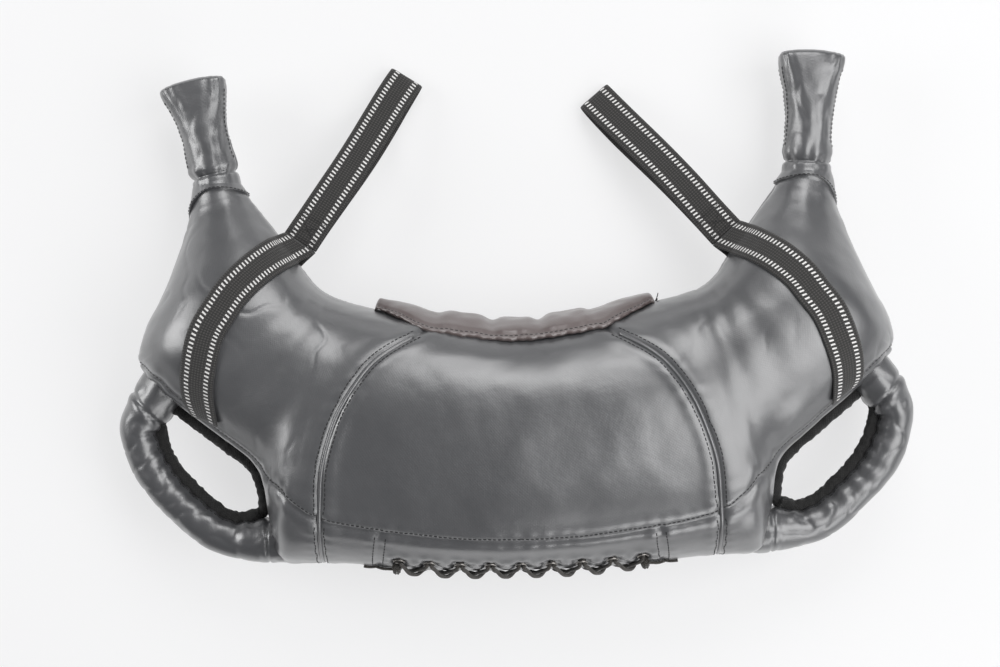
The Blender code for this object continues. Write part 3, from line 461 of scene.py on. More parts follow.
def paper():
    """Matt paper that keeps the object's shadow and shows white to the eye."""
    g = Graph("paper", PAPER, 0.9)
    path = g.put("LightPath")
    glow = g.put("Emission", {"Color": GLOW, "Strength": 1.0})
    seen = g.math("MAXIMUM", path.outputs["Is Camera Ray"], path.outputs["Is Glossy Ray"])
    seen = g.math("MAXIMUM", seen, path.outputs["Is Transmission Ray"])
    seen = g.times(seen, GLOW_SHARE)
    mixed = g.put("MixShader", {0: seen, 1: g.shader.outputs[0], 2: glow.outputs[0]})
    g.links.new(mixed.outputs[0], g.nodes["Material Output"].inputs["Surface"])
    return g.made


def studio():
    """The camera above the bag, as in the photo, a pale floor and soft lamps."""
    camera = bpy.data.cameras.new("camera")
    camera.lens, camera.sensor_width = LENS, SENSOR
    scene.camera = show("camera", camera, CAMERA_SPOT, (0, 0, math.radians(CAMERA_TURN)))
    floor_mesh = bpy.data.meshes.new("floor")
    signs = ((-1, -1), (1, -1), (1, 1), (-1, 1))
    floor_mesh.from_pydata([(x * FLOOR_HALF, y * FLOOR_HALF, 0) for x, y in signs], [],
                           [(0, 1, 2, 3)])
    floor_mesh.materials.append(paper())
    floor = show("floor", floor_mesh, (0, 0, min(cad_box[0][2], 0) - FLOOR_DROP))
    for name, spot, size, power in LAMPS:
        data = bpy.data.lights.new(name, "AREA")
        data.shape, data.size, data.size_y, data.energy = "RECTANGLE", *size, power
        show(name, data, spot, (LAMP_AIM - Vector(spot)).to_track_quat("-Z", "Y").to_euler())
    world = bpy.data.worlds.new("studio")
    world.use_nodes = True
    sky = world.node_tree.nodes["Background"].inputs
    sky["Color"].default_value, sky["Strength"].default_value = SKY, SKY_STRENGTH
    scene.world = world
    scene.view_settings.view_transform = "Standard"


studio()

# ---- the stuffed bag
U_STEPS, TURN_STEPS = 620, 280
ABOVE_FLOOR = 0.0002
BAG_END = 15.9 / STATIONS  # the last bit is under the grip's turned hem
# Where the side handles pull on the cloth: place, folds, reach and depth at each side.
PULLS = (((0.222, -0.19, 0.06), 7, 0.026, 0.0019, 1), ((0.33, -0.055, 0.056), 6, 0.026, 0.0017, 2))


def distance_to(field, du, dt, per_u, per_turn):
    """Metres to where a field over the surface is zero."""
    slope = np.hypot(np.gradient(field, axis=0) / du / per_u,
                     np.gradient(field, axis=1) / dt / per_turn)
    return field / np.maximum(slope, 1e-9)


def seam_relief(d, s, strength=1.0):
    """A narrow groove with puffed cloth beside it and small puckers across it."""
    pucker = np.cos(s / 0.0125 * math.tau + 2.5 * np.sin(s / 0.041)) * (1 + 0.6 * np.sin(s / 0.017))
    return strength * (-0.0017 * bell(d, 0.0021) + 0.001 * bell(np.abs(d) - 0.0085, 0.0062)
                       + 0.00016 * pucker * bell(np.abs(d) - 0.006, 0.0065))


def gather(base, spot, count, reach, depth, phase):
    """Folds that run out from a place where the cloth is pulled."""
    away = base - np.array(spot)
    r = np.linalg.norm(away, axis=-1)
    bearing = np.arctan2(away[..., 2] * 0.8, away[..., 1])
    wave = np.cos(bearing * count + phase + 9 * rough(base, 0.16, phase))
    return depth * wave * np.exp(-r / reach) * np.clip(r / (reach * 0.4), 0, 1)


def bag_grid():
    """The bag's skin as rings from mouth to mouth, with its seams, folds and dents."""
    us = np.linspace(-BAG_END, BAG_END, U_STEPS)
    turns = np.arange(TURN_STEPS) / TURN_STEPS * 360
    u, turn = np.meshgrid(us, turns, indexing="ij")
    base = skin(u, turn)
    du, dt = us[1] - us[0], turns[1] - turns[0]
    pu = np.gradient(base, axis=0) / du
    wrapped = np.concatenate((base[:, -1:], base, base[:, :1]), 1)
    pt = (wrapped[:, 2:] - wrapped[:, :-2]) / (2 * dt)
    normal = unit(np.cross(pt, pu))
    middle = base.mean(1, keepdims=True)
    normal *= np.where(np.sum(normal * (base - middle), -1).mean() < 0, -1, 1)
    per_u, per_turn = np.linalg.norm(pu, axis=-1), np.maximum(np.linalg.norm(pt, axis=-1), 2e-4)
    au = np.abs(u)
    s_along = np.broadcast_to((np.cumsum(per_u, 0) * du).mean(1, keepdims=True), u.shape)
    s_round = np.cumsum(per_turn, 1) * dt
    height = np.zeros_like(u)

    def far(field):
        return distance_to(field, du, dt, per_u, per_turn)

    gusset = gusset_turn(u)
    on_gusset = (turn > gusset) & (turn < 360 - gusset)
    front = far(turn - gusset)
    back = far(turn - (360 - gusset))
    # The front seam runs on to the mouth, the back one fades out where the two have met.
    for d, part in ((front, 1), (back, np.clip((0.64 - au) / 0.03, 0, 1))):
        height += seam_relief(d, s_along) * np.where(au > 0.6, 0.55, 1) * part
    inner = far((turn + 180) % 360 - 180)
    inner = np.where(np.abs((turn + 180) % 360 - 180) > 90, 1, inner)
    height += seam_relief(inner, s_along, 0.6)
    pipe = far(au - piping_u(turn))
    height += seam_relief(pipe, s_round)
    ends = far(au - LACING_END)
    height += np.where(on_gusset, seam_relief(ends, s_round, 0.7), 0)
    slit = far(turn - SLIT_TURN)
    lips = 0.0035 * bell(slit, 0.0022) - 0.0016 * bell(np.abs(slit) - 0.005, 0.004)
    height -= np.where(au < LACING_END, lips, 0)
    for side in SIDES.values():
        for (x, y, z), count, reach, depth, phase in PULLS:
            height += gather(base, (side * x, y, z), count, reach, depth, phase * side)
    # The lace draws the flaps in round each eyelet.
    for k, eyelet_u in enumerate(EYELET_SPOTS):
        for eyelet_turn in (UPPER_TURN, LOWER_TURN):
            spot = skin(eyelet_u, eyelet_turn)
            r = np.linalg.norm(base - spot, axis=-1)
            height += -0.0022 * bell(r, 0.007) + 0.0009 * bell(r - 0.011, 0.005)
            fold = np.cos(np.arctan2(base[..., 2] - spot[2], base[..., 0] - spot[0]) * 6 + k)
            height += 0.0005 * fold * bell(r - 0.01, 0.006)
    mouth = np.maximum(1 - au, 0) * per_u
    angle = np.radians(turn)
    folds = np.cos(angle * 7 + 3 * u) + 0.7 * np.cos(angle * 12 + 1.7 * np.sign(u))
    height += 0.00075 * folds * np.exp(-mouth / 0.03)
    # The belly's pull: long folds between the lower corners and the side handles.
    tension = np.cos(s_along / 0.036 * math.tau + angle * 4)
    height += 0.0004 * tension * bell(au - 0.42, 0.1) * np.clip(np.sin(angle), 0, 1)
    # Slack of a hand-filled bag, and the fine creases of coated cloth.
    height += 0.0028 * rough(base, 0.115, 3.1) + 0.0009 * rough(base, 0.045, 8.7)
    height += 0.00035 * rough(base * np.array((1, 1, 1.5)), 0.018, 1.9)
    crisp = rough(base, 0.028, 5.2)
    patches = np.clip(rough(base, 0.09, 6.6) * 2.2, 0, 1)
    height += -0.0006 * bell(crisp, 0.1) * patches * np.clip((au - 0.2) * 8, 0, 1)
    # Flatter against the floor and under the grip's hem, where the skin tucks in.
    lower = np.clip(-np.sin(angle) * 1.6, 0, 1)
    calm = (1 - 0.75 * lower) * np.clip((0.958 - au) / 0.06, 0.12, 1)
    tucked = 0.0016 * np.clip((au - 15.1 / STATIONS) * 32, 0, 1)
    points = base + normal * (height * calm - tucked)[..., None]
    points[..., 2] = np.maximum(points[..., 2], ABOVE_FLOOR)
    return points, np.stack((s_along, s_round), -1)


bag_points, bag_uv = bag_grid()
bag = grid_piece("bag_skin", bag_points, GREY, bag_uv)
bag_tree = BVHTree.FromPolygons([v.co.copy() for v in bag.data.vertices],
                                [tuple(p.vertices) for p in bag.data.polygons])
# The rings run one way or the other, so the side that faces up above the bag sets the outside.
BAG_SIGN = 1 if bag_tree.find_nearest(Vector((0, -0.1, 0.3)))[1].z > 0 else -1
if BAG_SIGN < 0:
    bag.data.flip_normals()

panels = ["front_centre_panel", "back_centre_panel", "upper_lacing_flap", "lower_lacing_flap",
          "centre_filler_bag"]
for which in SIDES:
    panels += [f"{which}_{n}" for n in ("filler_bag", "front_arm_panel", "back_arm_panel",
                                        "belly_gusset", "arm_gusset")]
place(bag, "bag", "leatherette", *panels)


def lay(points, lift=0.0):
    """The bag's real surface under each point, with its outward direction."""
    places, outs = [], []
    for p in np.asarray(points).reshape(-1, 3):
        near, out = bag_tree.find_nearest(Vector(p))[:2]
        out = out * BAG_SIGN
        places.append(np.array(near) + np.array(out) * lift)
        outs.append(np.array(out))
    return np.array(places), np.array(outs)


# Pitch, length, width and height of the stitches in each kind of seam.
STITCHES = {
    "top": (0.0042, 0.0029, 0.0009, 0.0006),
    "pad": (0.0044, 0.003, 0.0008, 0.0006),
    "box": (0.0026, 0.0019, 0.0007, 0.0006),
    "grip": (0.004, 0.0027, 0.0007, 0.0005),
    "hem": (0.004, 0.0027, 0.0008, 0.0006),
    "roll": (0.0042, 0.0028, 0.0008, 0.0006),
}


def stitches(points, outs, pitch, length, width, height):
    """Small sewn dashes along a line, as corner points and faces."""
    along = run(points)
    corners, faces = [], []
    for k in range(int(along[-1] / pitch)):
        first, last = (along_line(points, along, end) for end in (k * pitch, k * pitch + length))
        out = unit(along_line(outs, along, k * pitch + length / 2))
        ahead = last - first
        side = np.cross(unit(ahead), out) * width / 2
        start = len(corners)
        for share, rise in ((0, 0.2), (0.25, 1), (0.75, 1), (1, 0.2)):
            spot = first + ahead * share
            corners += [spot - side, spot + out * height * rise, spot + side]
        for r in range(3):
            a = start + r * 3
            faces += [(a, a + 1, a + 4, a + 3), (a + 1, a + 2, a + 5, a + 4)]
    return corners, faces


def sewn(name, lines, kind):
    """One piece of stitches along lines, each given as its points and outward directions."""
    corners, faces = [], []
    for points, outs in lines:
        more, turned = stitches(points, outs, *STITCHES[kind])
        faces += [tuple(i + len(corners) for i in f) for f in turned]
        corners += more
    return mesh_piece(name, corners, faces, THREAD, np.zeros((len(corners), 2)))


def sew(name, lines, kind, body="bag", slot="leatherette"):
    place(sewn(name, lines, kind), body, slot)


def seam_line(us, turns, aside):
    """A line on the surface, moved sideways by metres."""
    points = skin(us, turns)
    ahead = heading(points)
    moved = points + np.cross(ahead, lay(points)[1]) * aside
    return lay(eased(lay(moved, 0.0001)[0], 8), 0.00015)


SEAM_POINTS = 160
WELT_RADIUS, WELT_TURNS, WELT_POINTS = 0.0018, (36, 219), 150

top_seams = []
for side in SIDES.values():
    u = side * np.linspace(0, 9.6 / STATIONS, 200)
    top_seams.append(seam_line(u, gusset_turn(u), side * -0.004))
    turns = np.linspace(34, 123, SEAM_POINTS)
    for way in (-0.0052, 0.0052):
        top_seams.append(seam_line(side * piping_u(turns), turns, way))
    turns = np.linspace(129, 231, SEAM_POINTS)
    for way in (-0.0048, 0.0048):
        top_seams.append(seam_line(side * piping_u(turns), turns, way))
        top_seams.append(seam_line(np.full(SEAM_POINTS, side * LACING_END),
                                   np.linspace(134, 226, SEAM_POINTS), way))
sew("top_stitching", top_seams, "top")

for which, side in SIDES.items():
    turns = np.linspace(*WELT_TURNS, WELT_POINTS)
    welt, outs = lay(skin(side * piping_u(turns), turns), 0.0006)
    place(tube(f"{which}_welt", eased(welt, 30), GREY, WELT_RADIUS, eased(outs, 30), 12),
          "bag", "leatherette", f"{which}_piping")


# ---- neck pad
PAD_FULL, PAD_END, PAD_END_SHARE, PAD_TURN = 1.9 / STATIONS, 3.3 / STATIONS, 0.25, 30
PAD_ROWS, PAD_COLUMNS, PAD_GAP = 260, 44, 0.001
# Five lobes of uneven length: shares of the pad's length, and the beat of the wave there.
PAD_CREASES, PAD_BEATS = (0, 0.238, 0.421, 0.579, 0.758, 1), (0.42, 1, 2, 3, 4, 4.58)


def neck_pad():
    """The padded strip over the inner edge, its top stitching and two loose thread ends."""
    a, b = np.linspace(0, 1, PAD_ROWS), np.linspace(0, 1, PAD_COLUMNS)
    u = -PAD_END + 2 * PAD_END * a
    taper = np.clip((np.abs(u) - PAD_FULL) / (PAD_END - PAD_FULL), 0, 1)
    reach = PAD_TURN * (1 + (PAD_END_SHARE - 1) * taper)
    wave = np.abs(np.cos(np.pi * np.interp(a, PAD_CREASES, PAD_BEATS)))
    grids = []
    for over in (True, False):
        turn = reach[:, None] * (2 * b[None] - 1)
        turn = turn + (0.35 * np.sin(a * 83) + 0.25 * np.sin(a * 197))[:, None] * b[None] ** 8
        crown = np.clip(1 - np.abs(2 * b - 1) ** 2.6, 0, 1)[None]
        lift = np.full((PAD_ROWS, PAD_COLUMNS), PAD_GAP)
        if over:
            puff = 0.0026 + crown * (0.0062 - 0.0037 * wave[:, None] ** 9)
            puff = puff - 0.0014 * bell(b[None] - 0.94, 0.022) - 0.001 * bell(b[None] - 0.06, 0.03)
            lift = lift + puff
        lift = lift - 0.0035 * np.exp(-np.minimum(a, 1 - a) / 0.004)[:, None]
        points, raised = skin(u[:, None], turn, 0), skin(u[:, None], turn, lift)
        if over:
            ripple = 0.0008 * rough(raised, 0.012, 4.0) + 0.0009 * rough(raised, 0.03, 2.0)
            raised = raised + unit(raised - points) * ripple[..., None]
        grids.append(raised)
    closed = np.concatenate((grids[0], grids[1][:, ::-1]), 1)
    uv = cut_uv(a * 0.25, np.arange(2 * PAD_COLUMNS) * 0.0012)
    piece = grid_piece("neck_pad_cover", closed, BROWN, uv, flip=True)
    place(piece, "bag", "brown_leatherette", "neck_pad")
    edge = grids[0][2:-2, 41]
    outs = unit(edge - skin(u[2:-2], 0 * u[2:-2] + 24, -0.02))
    sew("neck_pad_stitching", [(edge, outs)], "pad", slot="brown_leatherette")
    share = np.linspace(0, 1, 12)
    tails = []
    for k, (reached, rise) in enumerate(((0.0125, 0.0066), (0.007, 0.0022))):
        points = skin(PAD_END + 0.001 + reached * share, 2 + 3 * k, 0.0004 + rise * share ** 1.6)
        tails.append(tube("tail", points, THREAD, 0.00042, UP, 6))
    place(merge("neck_pad_thread_tails", tails), "bag", "brown_leatherette")


neck_pad()


# ---- straps
WING_COURSE = {
    "left": ((7.4, 150), (8.0, 122), (8.5, 106), (9.25, 90), (10.1, 75), (10.6, 57), (10.85, 36),
             (10.95, 15)),
    "right": ((7.7, 152), (8.4, 120), (8.9, 104), (9.65, 89), (10.4, 75), (10.8, 57), (10.95, 36),
              (11, 15)),
}
LOOP_LENGTH, LOOP_LEAN = {"left": 0.18, "right": 0.173}, {"left": 33, "right": 40}
HINGE_Z, STUB, WIDE, THICK = 0.058, 0.024, 0.0325, 0.0022
STUB_Z, LOOP_BEND, LOOP_TWIST = HINGE_Z * 0.9, 0.0022, 9
WEBBING_LIFT = 0.0006 + THICK / 2
# Where a section of webbing has its points, and how thick it is there.
WEBBING_ACROSS = np.array((-0.5, -0.46, -0.36, -0.22, 0, 0.22, 0.36, 0.46, 0.5)) * WIDE
WEBBING_THICK = THICK / 2 * np.array((0.35, 0.85, 1, 1, 1, 1, 1, 0.85, 0.35))
# The sewn box with its cross: metres along the stub and shares of the half width.
BOX = (((0.004, -0.9), (0.022, 0.9)), ((0.004, 0.9), (0.022, -0.9)),
       ((0.003, -0.95), (0.003, 0.95)), ((0.0235, -0.95), (0.0235, 0.95)))
LOOP_TOP = ((0.3, 0.86), (0.45, 0.74), (0.6, 0.61), (0.75, 0.47), (0.87, 0.35), (0.95, 0.25),
            (0.99, 0.16))
LOOP_LOW = ((0.98, 0.07), (0.93, 0.035), (0.84, 0.035), (0.72, 0.06), (0.58, 0.2), (0.44, 0.42),
            (0.3, 0.66))


def turn_over(piece, which, joint, ahead, *nodes):
    """Webbing at the hinge between bag and loop: bakes its transform and hides its solids."""
    bend_at(piece)
    dress(piece, "webbing", *nodes)


def ribbon(name, middles, laterals, outs):
    """Webbing along a line, with its full width and thickness and thinner edges."""
    flat = middles[:, None] + laterals[:, None] * WEBBING_ACROSS[None, :, None]
    top, under = (flat + outs[:, None] * (sign * WEBBING_THICK)[None, :, None] for sign in (1, -1))
    closed = np.concatenate((top, under[:, ::-1]), 1)
    uv = cut_uv(run(middles), np.concatenate((WEBBING_ACROSS, WEBBING_ACROSS[::-1])))
    return grid_piece(name, closed, WEBBING, uv)


def strap(which):
    """Two wings over the arm, the hand loop and its sewn box."""
    side = SIDES[which]
    lean = math.radians(LOOP_LEAN[which])
    joint = hinge_at(f"{which}_loop_hinge")
    ahead = np.array((-side * math.sin(lean), math.cos(lean), 0))
    axis = np.cross(ahead, UP)
    stations, turns = np.array(WING_COURSE[which]).T
    share = np.linspace(0, 1, 74)
    u = side * through(stations, share) / STATIONS
    for label, up in (("front", 1), ("back", -1)):
        turn = through(turns, share)
        turn = turn if up > 0 else 360 - turn
        centres, outs = lay(skin(u, turn), WEBBING_LIFT)
        root = joint - ahead * 0.0012
        root[2] += up * 0.0019
        for k in range(1, 5):
            centres = np.vstack((centres, centres[-1] + (root - centres[-1]) * k / 4))
            outs = np.vstack((outs, unit(outs[-1] * (4 - k) + UP * (k * up))))
        centres = eased(centres, 3)
        for _ in range(3):
            outs[1:-1] = unit(outs[:-2] + 2 * outs[1:-1] + outs[2:])
        tangent = heading(centres)
        lateral = unit(np.cross(tangent, outs))
        lateral *= np.where(np.sum(lateral * axis, -1) < 0, -1, 1)[:, None]
        ease = np.clip((np.arange(len(centres)) - len(centres) + 12) / 12, 0, 1)[:, None]
        lateral = unit(lateral * (1 - ease) + axis * ease)
        outs = unit(np.cross(lateral, tangent))
        inside = skin(u.mean(), 270, -0.06)
        outs *= np.where(np.sum(outs * (centres - inside), -1).mean() < 0, -1, 1)
        # The edges of the band lie on the bag too.
        near, far = (lay((centres + lateral * half * WIDE)[:-5], WEBBING_LIFT)[0]
                     for half in (-0.5, 0.5))
        flat = centres.copy()
        flat[:-5] = flat[:-5] * 0.8 + (near + far) / 2 * 0.2
        lateral[:-5] = unit(lateral[:-5] + unit(far - near))
        wing = ribbon(f"{which}_{label}_wing", flat, lateral, outs)
        turn_over(wing, which, joint, ahead, f"{which}_{label}_strap")
    length = LOOP_LENGTH[which]
    line = [(-0.0006, HINGE_Z + 0.0012), (0.01, HINGE_Z - 0.0009), (STUB, STUB_Z + 0.0016)]
    line += [(r * length, z * HINGE_Z) for r, z in LOOP_TOP + LOOP_LOW]
    line += [(STUB, STUB_Z - 0.001), (0.01, HINGE_Z - 0.0032), (-0.0006, HINGE_Z - 0.0012)]
    fine = through(line, np.linspace(0, 1, 150))
    middles = joint[None] * FLAT + ahead * fine[:, :1] + UP * fine[:, 1:]
    tip = np.clip(fine[:, 0] / length, 0, 1)
    bend = LOOP_BEND * np.sin(tip * 5.1) * tip
    middles = middles + axis * bend[:, None]
    tangent = heading(middles)
    twist = np.radians(LOOP_TWIST) * np.sin(tip * math.pi) * side
    lateral = unit(axis * np.cos(twist)[:, None] + np.cross(tangent, axis) * np.sin(twist)[:, None])
    outs = unit(np.cross(lateral, tangent))
    band = ribbon(f"{which}_loop_band", middles, lateral, outs)
    turn_over(band, which, joint, ahead, f"{which}_strap_loop")
    lines = []
    for (r0, a0), (r1, a1) in BOX:
        share = np.linspace(0, 1, 20)[:, None]
        r, a = r0 + (r1 - r0) * share, (a0 + (a1 - a0) * share) * WIDE / 2 * 0.92
        z = HINGE_Z + 0.0029 - r * 0.24 + 0.0012
        points = joint * FLAT + ahead * r + axis * a + UP * z
        lines.append((points, np.repeat(UP[None], 20, 0)))
    turn_over(sewn(f"{which}_loop_stitching", lines, "box"), which, joint, ahead)


for which in SIDES:
    strap(which)


# ---- end grips
GRIP_LENGTH, GRIP_LEAN = {"left": 0.094, "right": 0.106}, {"left": 12, "right": 4}
GRIP = ((0.105, 0.715, 0.985), (0.17, 0.775, 1.02), (0.32, 0.73, 0.985), (0.5, 0.725, 0.96),
        (0.66, 0.79, 0.93), (0.8, 0.89, 0.88), (0.91, 0.975, 0.81), (0.975, 1, 0.74),
        (1, 0.955, 0.56))
GRIP_SQUARE = (2, 2, 2, 2.1, 2.4, 2.9, 3.6, 4.2, 4.2)
GRIP_HALF_WIDTH, GRIP_HALF_DEPTH, GRIP_COLUMNS = 0.0285, 0.0205, 72
# The crease at the root: metres past the hinge, half width and half depth.
GRIP_ROOT = ((0.003, 0.0218, 0.0217), (0.0055, 0.0215, 0.0214), (0.0072, 0.0208, 0.0206),
             (0.0083, 0.019, 0.0178), (0.0096, 0.0192, 0.0183), (0.011, 0.0203, 0.0199))
# The flat end: how far each ring shrinks, and how far it draws in.
GRIP_TIP = ((0.86, -0.0004), (0.55, 0.0004), (0.2, 0.0008))


def grip(which):
    """The end grip in one piece with the hem round the arm's mouth, and its stitching."""
    side = SIDES[which]
    lean = math.radians(GRIP_LEAN[which])
    joint = hinge_at(f"{which}_grip_hinge")
    ahead = np.array((side * math.sin(lean), math.cos(lean), 0))
    across = np.cross(ahead, UP)
    length = GRIP_LENGTH[which]
    angle = np.arange(GRIP_COLUMNS) / GRIP_COLUMNS * 360
    turn = angle if side < 0 else 180 - angle
    rings, slides = [], []
    # The neck: a turned hem, arched over the top, then up to the deep crease at the root.
    hem_u = (14.95 + 0.85 * np.abs(np.sin(np.radians(turn)))) / STATIONS
    hem = [(0, -0.004), (0, 0.001)] + [(k / 24, 0.0021 - 0.0018 * k / 24) for k in range(1, 25)]
    for share, lift in hem:
        rings.append(skin(side * (hem_u + (1 - hem_u) * share), turn, lift))
        slides.append(-(1 - share) * 0.024)
    table = np.array([(s, w * GRIP_HALF_WIDTH, d * GRIP_HALF_DEPTH) for s, w, d in GRIP])
    shares = np.concatenate((np.linspace(0.145, 0.975, 72), (0.99, 1.0)))
    place_in = np.interp(shares, table[:, 0], np.linspace(0, 1, len(table)))
    profile = through(table, place_in)
    squares = through(GRIP_SQUARE, place_in)
    c, s = np.cos(np.radians(angle)), np.sin(np.radians(angle))
    for reach, wide, deep in GRIP_ROOT:
        rings.append(joint + ahead * reach + across * (c * wide)[:, None]
                     + UP * (s * deep)[:, None])
        slides.append(reach)
    for (share, wide, deep), square, exact in zip(profile, squares, shares):
        x = np.sign(c) * np.abs(c) ** (2 / square) * wide
        z = np.sign(s) * np.abs(s) ** (2 / square) * deep
        pull = -0.0026 * max(exact - 0.72, 0) / 0.28 * (1 - np.abs(x / wide) ** 2)
        rings.append(joint + ahead * (exact * length - pull)[:, None] + across * x[:, None]
                     + UP * z[:, None])
        slides.append(exact * length)
    grid = np.array(rings)
    slides = np.array(slides)
    out = unit(grid - grid.mean(1, keepdims=True))
    rad = np.radians(angle)[None]
    near = np.exp(-np.abs(slides - 0.01) / 0.009)[:, None]
    folds = np.cos(rad * 8 + slides[:, None] * 90 + side) + 0.8 * np.cos(rad * 13 + 2)
    height = 0.0006 * folds * near
    # A seam down each narrow side of the grip.
    seam = np.minimum(np.abs((angle + 180) % 360 - 180), np.abs(angle - 180))[None] * 0.00036
    height = height - 0.0009 * bell(seam, 0.0011) * (slides[:, None] > 0.01)
    height += 0.0008 * bell(seam - 0.0035, 0.0028) * (slides[:, None] > 0.01)
    height += 0.0014 * rough(grid, 0.03, 5 + side) + 0.0006 * rough(grid, 0.011, 9 + side)
    height += -0.0005 * bell(rough(grid * np.array((1.5, 0.8, 1)), 0.022, 3 + side), 0.11)
    height[:2] = 0
    pinch = np.clip((slides / length - 0.6) / 0.4, 0, 1)[:, None]
    height += 0.0005 * np.cos(rad * 16 + 1.2) * pinch * np.abs(s)[None]
    grid = grid + out * height[..., None]
    hub = grid[-1].mean(0)
    cap = [hub + (grid[-1] - hub) * shrink - ahead * pull for shrink, pull in GRIP_TIP]
    grid = np.concatenate((grid, np.array(cap)))
    slides = np.concatenate((slides, slides[-1] + np.array((0.004, 0.012, 0.022))))
    uv = cut_uv(slides, np.radians(angle) * 0.021)
    piece = grid_piece(f"{which}_grip_cover", grid, GREY, uv, flip=True)
    bend_at(piece)
    dress(piece, "leatherette", f"{which}_grip_sleeve", f"{which}_grip_core", f"{which}_neck_cuff")
    lines = []
    for column in (3, 33, 39, 69):
        line = grid[38:98, column]
        lines.append((line + out[38:98, column] * 0.0002, out[38:98, column]))
    sew(f"{which}_grip_stitching", lines, "grip", f"{which}_grip")
    ring, ring_out = (np.vstack((rows, rows[:1])) for rows in (grid[4] + out[4] * 0.0002, out[4]))
    cuff = sewn(f"{which}_hem_stitching", [(ring, ring_out)], "hem")
    bend_at(cuff)
    dress(cuff, "leatherette")


for which in SIDES:
    grip(which)


# ---- side handles
ROLL = ((0, 0), (0.045, 0.24), (0.1, 0.47), (0.189, 0.72), (0.285, 0.84), (0.382, 0.91),
        (0.478, 0.97), (0.573, 0.985), (0.66, 0.94), (0.739, 0.85), (0.815, 0.71), (0.881, 0.53),
        (0.945, 0.28), (1, 0))
FEET = ((0.2333, -0.1968), (0.3345, -0.0634))
LEVEL_Z, ROLL_DEPTH, ROLL_RADIUS = 0.054, 0.037, 0.0155
# Wide ends: the lower one runs in under a seam, the upper one folds over and into the arm.
LOW_END = ((0.2, -0.195), (0.2115, -0.1958), (0.2235, -0.1955))
HIGH_END = ((0.3285, -0.0762), (0.3165, -0.058), (0.304, -0.042))
TAPE_HALF_WIDTH, TAPE_HALF_DEPTH, TAPE_FROM_ROLL, TAPE_FROM_BAG = 0.0055, 0.0046, 0.0188, 0.0048
OVAL_POINTS = 260


def roll_line(side, count):
    """The middle of the stuffed roll, from its lower foot to its upper one."""
    a, b = (np.array((side * x, y, LEVEL_Z)) for x, y in FEET)
    chord = b - a
    out = unit(np.array((chord[1], -chord[0], 0))) * side
    points = np.array([a + chord * t + out * bow * ROLL_DEPTH for t, bow in ROLL])
    return through(points, np.linspace(0, 1, count))


def outward(line, side):
    """The level direction away from the bag at each point of a line."""
    x, y = heading(line)[:, :2].T
    return unit(np.stack((y, -x, 0 * x), -1)) * side


def side_handle(which):
    """The stuffed roll, its stitching and the hand hole's bound edge."""
    side = SIDES[which]
    line = roll_line(side, 120)
    low_end, high_end = (np.array([(side * x, y, LEVEL_Z) for x, y in end])
                         for end in (LOW_END, HIGH_END))
    middle = eased(through(np.vstack((low_end, line[12:-14:11], high_end)),
                           np.linspace(0, 1, 160)), 26)
    along = run(middle)
    out = outward(middle, side)
    share, left_over = along / along[-1], along[-1] - along
    flare = np.exp(-along / 0.022) + np.exp(-left_over / 0.03)
    angle = np.arange(56) / 56 * math.tau
    low_seam, fold = run(low_end)[-1], run(high_end)[-1]
    wide = np.interp(along, (0, 0.008, low_seam, low_seam + 0.03), (0.012, 0.0212, 0.0208, 0.0158))
    wide += np.interp(left_over, (0, 0.01, fold - 0.004, fold + 0.03), (-0.003, 0.0052, 0.0048, 0))
    tall = np.interp(along, (0, 0.008, low_seam, low_seam + 0.034), (0.012, 0.024, 0.024, 0.0165))
    tall += np.interp(left_over, (0, 0.01, fold, fold + 0.04), (-0.003, 0.0075, 0.0075, 0))
    wide, tall = eased(wide, 4), eased(tall, 4)
    c, s = np.cos(angle)[None], np.sin(angle)[None]
    grid = (middle[:, None] + out[:, None] * (c * wide[:, None])[..., None]
            + UP * (s * tall[:, None])[..., None])
    # Cloth bunches across the roll by the hand hole, and long folds run out of its ends.
    inward = np.clip(-c * 0.75 + 0.35, 0, 1)
    beat = along[:, None] / 0.0165 * math.tau + 1.3 * np.sin(along[:, None] / 0.023) + 0.9 * s
    height = 0.0007 * np.cos(beat) * inward * np.clip(np.sin(share * math.pi)[:, None] * 2, 0, 1)
    pleats = np.cos(angle[None] * 7 + 9 * share[:, None])
    height = height + 0.0008 * pleats * np.clip(flare, 0, 1)[:, None]
    height += 0.0014 * rough(grid, 0.04, 2 * side) + 0.0005 * rough(grid, 0.015, 7 + side)
    crease = rough(grid * np.array((1, 1, 0.6)), 0.021, 12 + side)
    height += -0.0007 * bell(crease, 0.09)
    # The seam across the lower end, the fold across the upper one, and the seam along the inside.
    height += -0.0015 * bell(along[:, None] - low_seam, 0.0012)
    bent = left_over[:, None] - fold + 0.006 * c
    creased = 0.0026 * bell(bent, 0.0016) * np.clip(s + 0.7, 0, 1)
    height += 0.0009 * bell(bent - 0.006, 0.004) - creased
    height += -0.0012 * bell((angle[None] - math.pi) * ROLL_RADIUS, 0.0018)
    grid = grid + unit(grid - middle[:, None]) * height[..., None]
    piece = grid_piece(f"{which}_handle_cover", grid, GREY, cut_uv(along, angle * ROLL_RADIUS),
                       flip=side > 0)
    place(piece, f"{which}_handle", "leatherette", f"{which}_handle_sleeve", f"{which}_handle_core")
    for label, column in (("a", 24), ("b", 32)):
        stitch = grid[28:-38, column]
        sew(f"{which}_handle_stitching_{label}", [(stitch, unit(stitch - middle[28:-38]))], "roll",
            f"{which}_handle")
    hand_hole(which, line)


